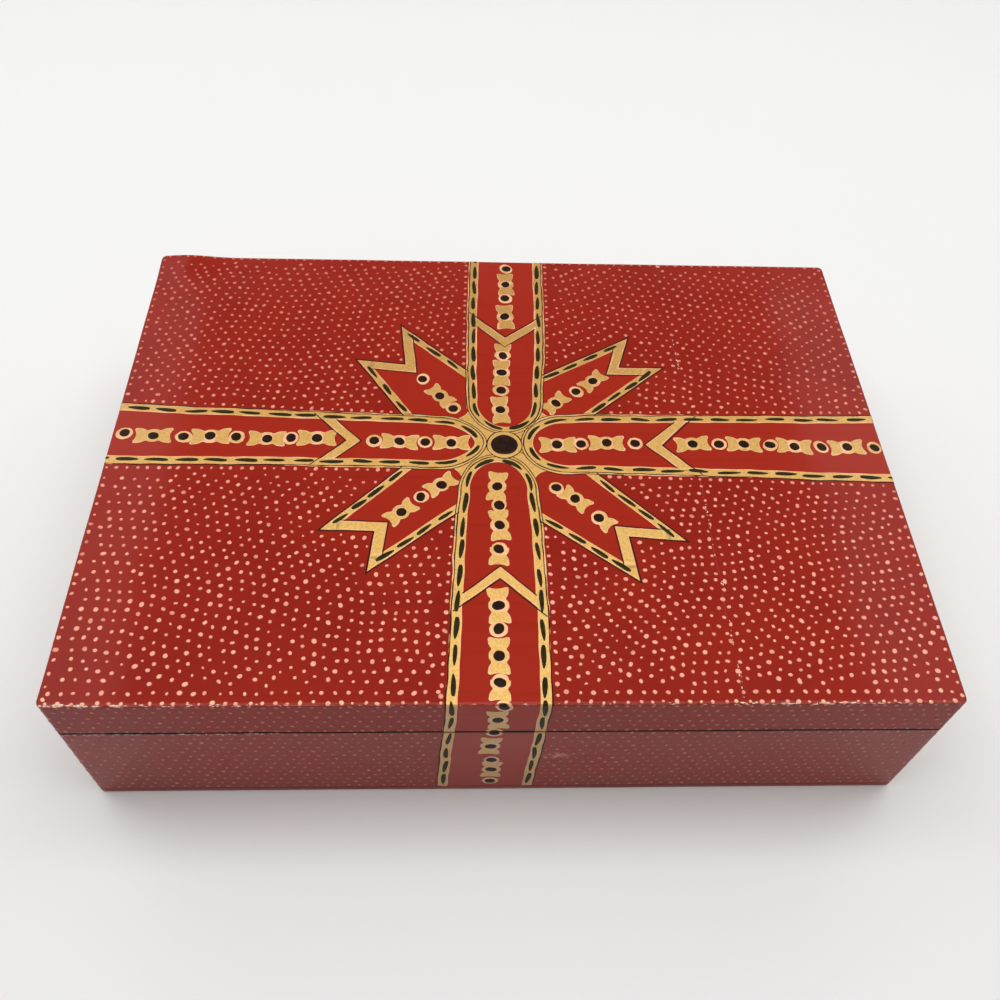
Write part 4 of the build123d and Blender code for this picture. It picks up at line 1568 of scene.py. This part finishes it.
class BuildLines(bpy.types.Operator):
    """Paint the dark outlines and the dashes of the ribbon and the bow"""

    bl_idname = "storage_box.lines"
    bl_label = "Outlines and dashes"

    def execute(self, context):
        scene = context.scene
        skin = Skin(scene.box_sizes)
        rng = np.random.default_rng(scene.box_sizes.seed + 1)
        lines = {"lid": [], "tray": []}
        marks = {"lid": [], "tray": []}
        arm_map = arms(skin)
        for arm in arm_map.values():
            self.arm_lines(arm, skin, lines)
            self.arm_dashes(arm, skin, marks, rng)
        for seed, corners in zip(TAIL_SEEDS, TAILS.values()):
            lines["lid"] += self.tail_outlines(skin, arm_map, corners, seed)
            marks["lid"] += self.tail_dashes(skin, corners, rng)
        for seed, (corners, width) in zip(CHEVRON_SEEDS, CHEVRONS.values()):
            lines["lid"] += self.chevron_outlines(skin, arm_map, corners, width, seed)
        dark = material("dark_paint", dark_material, scene.box_colours.dark)
        for body in ("lid", "tray"):
            new_piece(f"{body}_outlines", lines[body], body, outline_of(scene))
            new_piece(f"{body}_dashes", marks[body], body, dark)
        return {"FINISHED"}

    def line(self, skin, near, far):
        """A thin dark line between two lines."""
        return strip(skin, near, far, LINE, FINE_SECTION)

    def arm_lines(self, arm, skin, lines):
        """The line along the outside of each band, and a second one further out round the lid's middle."""
        for body, path, out in band_paths(arm):
            half = arm.width(path.points @ arm.along) / 2
            thick = skin.sizes.line_width * (1 + wander(path.run, arm.seed, mm([5, 12, 31]), 0.3))
            lines[body].append(self.line(skin, path.moved(out * half), path.moved(out * (half + thick))))
        lid = arm.loop()
        tip = lid.run[int(np.argmin(lid.points @ arm.along))]
        near = lid.piece(tip - 34 * MM, tip + 36 * MM, 1.2 * MM)
        u = near.points @ arm.along
        gap = arm.width(u) / 2 + arm.brim(u) - 0.35 * MM
        gap = gap + wander(near.run, arm.seed + 4, mm([13, 27]), 0.1 * MM)
        thin = 0.8 * skin.sizes.line_width
        pair = [near.moved(arm.outward * offset) for offset in (gap, gap + thin)]
        lines["lid"].append(self.line(skin, *pair))

    def arm_dashes(self, arm, skin, marks, rng):
        """Dashes along the middle of each band, over the lid and down the tray."""
        lid = arm.loop()
        tip = lid.run[int(np.argmin(lid.points @ arm.along))]
        for start, stop, lean in ((1.2 * MM, tip, 1), (tip + 1.5 * MM, lid.run[-1], -1)):
            marks["lid"] += dashes(skin, lid, start, stop, *LID_DASHES, arm.dash, lean, rng)
        for side in (1, -1):
            path = arm.side_line(side)
            marks["tray"] += dashes(skin, path, 0.6 * MM, path.run[-1], *TRAY_DASHES, arm.dash, -1, rng)

    def tail_outlines(self, skin, arm_map, corners, seed):
        """The dark line round a tail, and a finer one along the inside of its notch."""
        thick = skin.sizes.line_width
        offsets = (0, -inward(corners) * thick)
        outer = ribbon_lines(arm_map, corners, offsets, seed, depth=-0.05)
        notch = notch_lines(corners, skin.sizes.notch_width + np.array([0.0, 0.8 * thick]), seed)
        return [self.line(skin, *outer), self.line(skin, *notch)]

    def chevron_outlines(self, skin, arm_map, corners, width, seed):
        """A dark line along each side of a chevron: the near one between the bands, the far one over them."""
        away = beyond(corners)
        thick = skin.sizes.line_width
        near = ribbon_lines(arm_map, corners, (0, -away * 0.8 * thick), seed, depth=0.9)
        offsets = (away * width, away * (width + thick))
        far = ribbon_lines(arm_map, corners, offsets, seed, depth=0.0)
        return [self.line(skin, *near), self.line(skin, *far)]

    def tail_dashes(self, skin, corners, rng):
        """Dashes along a tail's two long edges, and none on its notch.

        The first edge runs away from the bow's middle, and the second one back to it.
        """
        marks = []
        inside = inward(corners)
        for edge, lean in ((corners[:2], 1), (corners[3:], -1)):
            line = Path(Path(edge).moved(inside * skin.sizes.tail_width * 0.46))
            inner, outer = (1.0, 4.4) if lean > 0 else (4.4, 1.0)
            stop = line.run[-1] - (outer - 2) * MM
            marks += dashes(skin, line, inner * MM, stop, *TAIL_DASHES, skin.sizes.tail_dash, lean, rng)
        return marks


class BuildBeads(bpy.types.Operator):
    """Paint the beads along the ribbon and on the tails, with their dark centres"""

    bl_idname = "storage_box.beads"
    bl_label = "Beads"

    def execute(self, context):
        scene = context.scene
        skin = Skin(scene.box_sizes)
        rng = np.random.default_rng(scene.box_sizes.seed + 2)
        gold = {"lid": [], "tray": []}
        dark = {"lid": [], "tray": []}
        for name, arm in arms(skin).items():
            kinds, places, line = CHAINS[name]
            for kind, u in zip(kinds, mm(places)):
                w = smooth(u, mm(line))
                self.arm_bead(skin, arm, LONG_BEADS[name], kind, u, w, gold, dark, rng)
        shape = LONG_BEADS["tail"]
        for kind, place in TAIL_BEADS:
            centre = mm(place)
            heading = centre / np.linalg.norm(centre)
            self.bead(skin, shape, kind, centre, heading, 0.96, gold["lid"], dark["lid"], rng)
        for body in ("lid", "tray"):
            new_piece(f"{body}_beads", gold[body], body, gold_of(scene))
            new_piece(f"{body}_bead_centres", dark[body], body, centre_of(scene))
        return {"FINISHED"}

    def arm_bead(self, skin, arm, shape, kind, u, w, gold, dark, rng):
        """A bead of an arm's chain, on the body that carries it, or cut in two where it crosses the seam."""
        size = skin.sizes.ring_radius
        if kind == "r" and skin.down(arm.axis, LID_RIM) - size < u < skin.down(arm.axis, TRAY_RIM) + size:
            for paint_list, radius, lift, tone in ((gold, size, ROUND_BEAD, 0.85),
                                                   (dark, skin.sizes.centre_radius, BEAD_CENTRE, 0)):
                for body, part in seam_bead(skin, arm, u, w, radius, lift, tone).items():
                    paint_list[body].append(part)
            return
        body = "lid" if u < skin.down(arm.axis, LID_RIM) else "tray"
        centre = arm.place(u, w)
        self.bead(skin, shape, kind, centre, arm.along, 1.0, gold[body], dark[body], rng)

    def bead(self, skin, shape, kind, centre, heading, scale, gold, dark, rng):
        """One bead with its dark centre."""
        scale = scale * rng.uniform(0.96, 1.04)
        turn = rng.normal() * 0.05
        heading = np.array([heading[0] - turn * heading[1], heading[1] + turn * heading[0]])
        if kind == "c":
            gold.append(long_bead(skin, centre, heading, shape, scale))
        else:
            gold.append(round_bead(skin, centre, scale * skin.sizes.ring_radius, ROUND_BEAD, rng, 0.85))
        if kind == "f":
            gold.append(long_bead(skin, centre, heading, shape, scale, start=-0.1))
        stray = rng.normal(size=2).clip(-1.5, 1.5) * 0.14 * MM
        radius = scale * skin.sizes.centre_radius
        dark.append(round_bead(skin, centre + stray, radius, BEAD_CENTRE, rng, 0.0))


class BuildMedallion(bpy.types.Operator):
    """Paint the gold ring and dark disc in the middle of the bow"""

    bl_idname = "storage_box.medallion"
    bl_label = "Medallion"

    def execute(self, context):
        scene = context.scene
        skin = Skin(scene.box_sizes)
        rng = np.random.default_rng(scene.box_sizes.seed + 3)
        lines = [self.disc(skin, rng, "outer_line", MEDALLION - 0.012 * MM, 0.0),
                 self.disc(skin, rng, "inner_line", MEDALLION + 0.012 * MM, 0.0)]
        ring = [self.disc(skin, rng, "ring", MEDALLION, 0.6)]
        centre = [self.disc(skin, rng, "centre", MEDALLION_CENTRE, 0.0)]
        new_piece("medallion_lines", lines, "lid", outline_of(scene))
        new_piece("medallion_ring", ring, "lid", gold_of(scene))
        new_piece("medallion_centre", centre, "lid", centre_of(scene))
        return {"FINISHED"}

    def disc(self, skin, rng, name, lift, tone):
        """An oval dab round the bow's middle, its edge strayed by a slow wave."""
        angles = turns(40)
        a, b = mm(MEDALLION_DISCS[name])
        spokes = a * b / np.hypot(b * np.cos(angles), a * np.sin(angles))
        stray = wander(angles, int(rng.integers(1000)), [2 * np.pi / 3, 2 * np.pi / 5], 0.015)
        spokes = spokes * (1 + stray)
        return mounds(skin.over, MEDALLION_MIDDLE, spokes[None], lift, tone, (0.35, 0.7, 0.95), fall=0.1)


class BuildDots(bpy.types.Operator):
    """Paint the dots on the lid's top and round the walls"""

    bl_idname = "storage_box.dots"
    bl_label = "Dots"

    def execute(self, context):
        scene = context.scene
        sizes = scene.box_sizes
        skin = Skin(sizes)
        rng = np.random.default_rng(sizes.seed + 4)
        colours = scene.box_colours
        top_finish = material("dot_paint", dot_material, colours, colours.dot)
        # The wall dots take a darker copy of the dot paint, as painted shade for the walls
        shaded_wall_finish = material("wall_dot_paint", dot_material, colours, colours.wall_dot)
        places = self.top_places(skin, rng)
        near = np.interp(places[:, 1], mm([-90, -20, 90]), [1.09, 1.0, 0.97])
        front_row = places[:, 1] < 1.5 * MM - skin.flat[1]
        near = np.where(front_row, 0.9 * near, near)
        radii = blobs(rng, len(places), 8, sizes.top_dot, 0.17) * near[:, None]
        # Tones are random, and fall towards the back as painted shade
        tones = rng.uniform(0.4, 1.0, len(places)) * np.interp(places[:, 1], mm([-90, 90]), [1.0, 0.15])
        tones = np.where(front_row & (rng.random(len(places)) < 0.5), 0.98, tones)
        dots = mounds(skin.over, places, radii, DOT, tones, DAB_RINGS)
        new_piece("lid_top_dots", [dots], "lid", top_finish)
        for body, low, high in (("lid", LID_RIM + 0.9 * MM, skin.top - skin.edge - 0.4 * MM),
                                ("tray", BOTTOM_LINE + 1.2 * MM, TRAY_RIM - 0.9 * MM)):
            places = self.wall_places(skin, low, high, rng)
            radii = blobs(rng, len(places), 8, sizes.wall_dot, 0.1)
            # The lid's wall dots are a fifth dimmer than the tray's
            tones = rng.uniform(0.2, 0.95, len(places)) * (0.8 if body == "lid" else 1.0)
            dots = mounds(skin.wall, places, radii, 0.8 * DOT, tones, DAB_RINGS)
            new_piece(f"{body}_wall_dots", [dots], body, shaded_wall_finish)
        return {"FINISHED"}

    def lattice(self, half, pitch, angle, seed, rng):
        """A field of staggered rows at an angle, bent by a slow warp and a little jitter."""
        extent = 1.5 * half.max()
        rows = np.arange(-extent, extent, pitch * 0.87)
        columns = np.arange(-extent, extent, pitch)
        v, u = np.meshgrid(rows, columns, indexing="ij")
        u = u + (np.arange(len(rows)) % 2)[:, None] * pitch / 2
        turn = np.array([[np.cos(angle), np.sin(angle)], [-np.sin(angle), np.cos(angle)]])
        points = np.column_stack([u.ravel(), v.ravel()]) @ turn
        warp = np.column_stack([wander(points[:, 1], seed, mm([38, 61, 97]), 2.2 * MM),
                                wander(points[:, 0], seed + 1, mm([43, 67, 103]), 2.2 * MM)])
        return points + warp + rng.normal(size=points.shape).clip(-2, 2) * 0.28 * MM

    def top_places(self, skin, rng):
        """Dots of the top: rows along the ribbon and the edges, and in each quarter a field of its own."""
        arm_map = arms(skin)
        border = np.concatenate([self.ribbon_rows(arm_map, skin, rng), self.edge_rows(skin, rng)])
        fields = []
        for sign, angle, pitch in DOT_FIELDS:
            pitch = pitch * skin.sizes.top_pitch
            field = self.lattice(skin.flat, pitch, np.radians(angle), 31 + angle, rng)
            fields.append(field[(field * sign > 0).all(1)])
        field = np.concatenate(fields)
        gaps = np.linalg.norm(field[:, None] - border[None], axis=-1).min(1)
        places = np.concatenate([border, field[gaps > 2.5 * MM]])
        return places[self.free(places, skin, arm_map)]

    def ribbon_rows(self, arm_map, skin, rng):
        """A row of dots close along the outside of each band."""
        rows = []
        for arm in arm_map.values():
            for side in (1, -1):
                u = np.arange(24 * MM, skin.flat[arm.axis] - 1 * MM, 3.3 * MM)
                u = u + rng.normal(size=len(u)).clip(-2, 2) * 0.25 * MM
                rows.append(arm.place(u, arm.edge(side, u) + side * 1.75 * MM))
        return np.concatenate(rows)

    def edge_rows(self, skin, rng):
        """Rows of dots along the front, the sides and the back of the top."""
        rows = []
        for axis, inset, pitch, sides in EDGE_ROWS:
            for side in sides:
                run = np.arange(-skin.flat[axis] + 2 * MM, skin.flat[axis] - 2 * MM, pitch * MM)
                run = run + rng.normal(size=len(run)).clip(-2, 2) * 0.3 * MM
                off = side * (skin.flat[1 - axis] - inset * MM) + rng.normal(size=len(run)) * 0.12 * MM
                rows.append(np.column_stack([run, off] if axis == 0 else [off, run]))
        return np.concatenate(rows)

    def free(self, places, skin, arm_map):
        """Whether places on the top are clear of the ribbon, the bow and the rounded corners."""
        reach = skin.flat - (skin.corner - skin.edge)
        past = np.maximum(np.abs(places) - reach, 0)
        free = np.linalg.norm(past, axis=1) < skin.corner - skin.edge + 0.5 * MM
        for arm in arm_map.values():
            free &= ~arm.covers(places, DOT_GAP)
        for corners in TAILS.values():
            reached = np.vstack([corners, [[0, 0]]])
            free &= ~within(places, reached) & ~near_line(places, corners, 1.3 * MM)
        return free

    def wall_places(self, skin, low, high, rng):
        """Staggered rows of dots round the walls between two heights, clear of the ribbon and the hinges."""
        pitch = skin.sizes.wall_pitch
        count = int(round(skin.girth() / pitch))
        levels = int(round((high - low) / (0.86 * pitch))) + 1
        run, z = np.meshgrid((np.arange(count) + 0.5) * skin.girth() / count, np.linspace(low, high, levels))
        run = run + (np.arange(levels) % 2)[:, None] * 0.5 * skin.girth() / count
        places = np.column_stack([run.ravel(), z.ravel()])
        places += rng.normal(size=places.shape).clip(-1.6, 1.6) * 0.3 * MM
        places[:, 1] = places[:, 1].clip(low, high)
        point, normal = skin.outline(places[:, 0])
        free = np.ones(len(places), bool)
        for arm in arms(skin).values():
            u = skin.down(arm.axis, places[:, 1])
            w = point @ arm.across
            on_wall = normal @ arm.along > 0.9
            inside = (w < arm.edge(1, u) + DOT_GAP) & (w > arm.edge(-1, u) - DOT_GAP)
            free &= ~(on_wall & inside)
        for name in ("left_hinge_pin", "right_hinge_pin"):
            box_low, box_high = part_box(name)
            beside = (point[:, 0] > box_low[0] - 1.2 * MM) & (point[:, 0] < box_high[0] + 1.2 * MM)
            level = np.abs(places[:, 1] - (box_low[2] + box_high[2]) / 2) < 3.2 * MM
            free &= ~(beside & level & (normal[:, 1] > 0.9))
        return places[free]


class BuildWear(bpy.types.Operator):
    """Chip the lacquer along the front edge, the rims and the crack"""

    bl_idname = "storage_box.wear"
    bl_label = "Wear"

    def execute(self, context):
        scene = context.scene
        skin = Skin(scene.box_sizes)
        rng = np.random.default_rng(scene.box_sizes.seed + 5)
        finish = material("filler", filler_material, scene.box_colours)
        front = -skin.flat[1] - skin.edge * 0.75
        chips = [self.flakes(skin.over, rng, count, (start, stop), front, long, wide, 0.22 * MM)
                 for start, stop, count, long, wide in FRONT_CHIPS]
        y = np.concatenate([rng.uniform(start, stop, count) for start, stop, count in CRACK_CHIPS]) * MM
        crack = np.column_stack([crack_line(y) + rng.normal(size=len(y)).clip(-2, 2) * 0.16 * MM, y])
        crack = crack[np.abs(y) > CRACK_GAP]
        chips.append(self.specks(skin.over, rng, crack, (0.08, 0.25), 1.8))
        corner = np.array([(crack_line(skin.flat[1]), skin.flat[1] - 0.5 * MM)])
        chips.append(self.specks(skin.over, rng, corner, (1.0, 1.2), 0.9))
        new_piece("lid_chips", chips, "lid", finish)
        level = TRAY_RIM - 0.5 * MM
        rim = self.flakes(skin.wall, rng, 44, (0, 62), level, (0.25, 1.3), (0.09, 0.22), 0.1 * MM)
        new_piece("tray_chips", [rim], "tray", finish)
        return {"FINISHED"}

    def flakes(self, place, rng, count, span, level, half_lengths, half_widths, spread):
        """Flat chips along an edge, longer along it than across."""
        run = rng.uniform(*mm(span), count)
        centres = np.column_stack([run, level + rng.normal(size=count).clip(-1.5, 1.5) * spread])
        angles = turns(10)
        a = rng.uniform(*mm(half_lengths), (count, 1))
        b = rng.uniform(*mm(half_widths), (count, 1))
        radii = a * b / np.hypot(b * np.cos(angles), a * np.sin(angles))
        radii = radii * (1 + 0.3 * rng.normal(size=radii.shape).clip(-1.5, 1.5))
        return mounds(place, centres, radii, FLAKE, rng.uniform(0, 0.8, count), DAB_RINGS)

    def specks(self, place, rng, centres, sizes, stretch):
        """Small chips, stretched along Y."""
        count = len(centres)
        angles = turns(8)
        a = rng.uniform(*mm(sizes), (count, 1))
        radii = a / np.hypot(np.cos(angles), np.sin(angles) / stretch)
        radii = radii * (1 + 0.25 * rng.normal(size=radii.shape).clip(-1.5, 1.5))
        return mounds(place, centres, radii, FLAKE, rng.uniform(0.0, 0.7, count), DAB_RINGS)


class BoxPanel(bpy.types.Panel):
    """Lists the makers of the box's pieces, and their sizes and colours"""

    bl_idname = "VIEW3D_PT_storage_box"
    bl_label = "Storage box"
    bl_space_type = "VIEW_3D"
    bl_region_type = "UI"
    bl_category = "Storage box"

    def draw(self, context):
        for operator in OPERATORS:
            self.layout.operator(operator.bl_idname)
        for group in (context.scene.box_stage, context.scene.box_sizes, context.scene.box_colours):
            column = self.layout.column()
            for name in group.bl_rna.properties.keys():
                if name not in ("rna_type", "name"):
                    column.prop(group, name)


GROUPS = {"box_sizes": BoxSizes, "box_colours": BoxColours, "box_stage": BoxStage}
OPERATORS = (BuildStage, BuildTimber, BuildLining, BuildLacquer, BuildRibbon, BuildLines, BuildBeads,
             BuildMedallion, BuildDots, BuildWear)


def register():
    for group in GROUPS.values():
        bpy.utils.register_class(group)
    for operator in OPERATORS:
        bpy.utils.register_class(operator)
    bpy.utils.register_class(BoxPanel)
    for name, group in GROUPS.items():
        setattr(bpy.types.Scene, name, bpy.props.PointerProperty(type=group))


def unregister():
    for name in GROUPS:
        delattr(bpy.types.Scene, name)
    bpy.utils.unregister_class(BoxPanel)
    for operator in reversed(OPERATORS):
        bpy.utils.unregister_class(operator)
    for group in reversed(GROUPS.values()):
        bpy.utils.unregister_class(group)


def main():
    register()
    makers = bpy.ops.storage_box
    for make in (makers.stage, makers.timber, makers.lining, makers.lacquer, makers.ribbon, makers.lines,
                 makers.beads, makers.medallion, makers.dots, makers.wear):
        make()


if __name__ == "__main__":
    main()
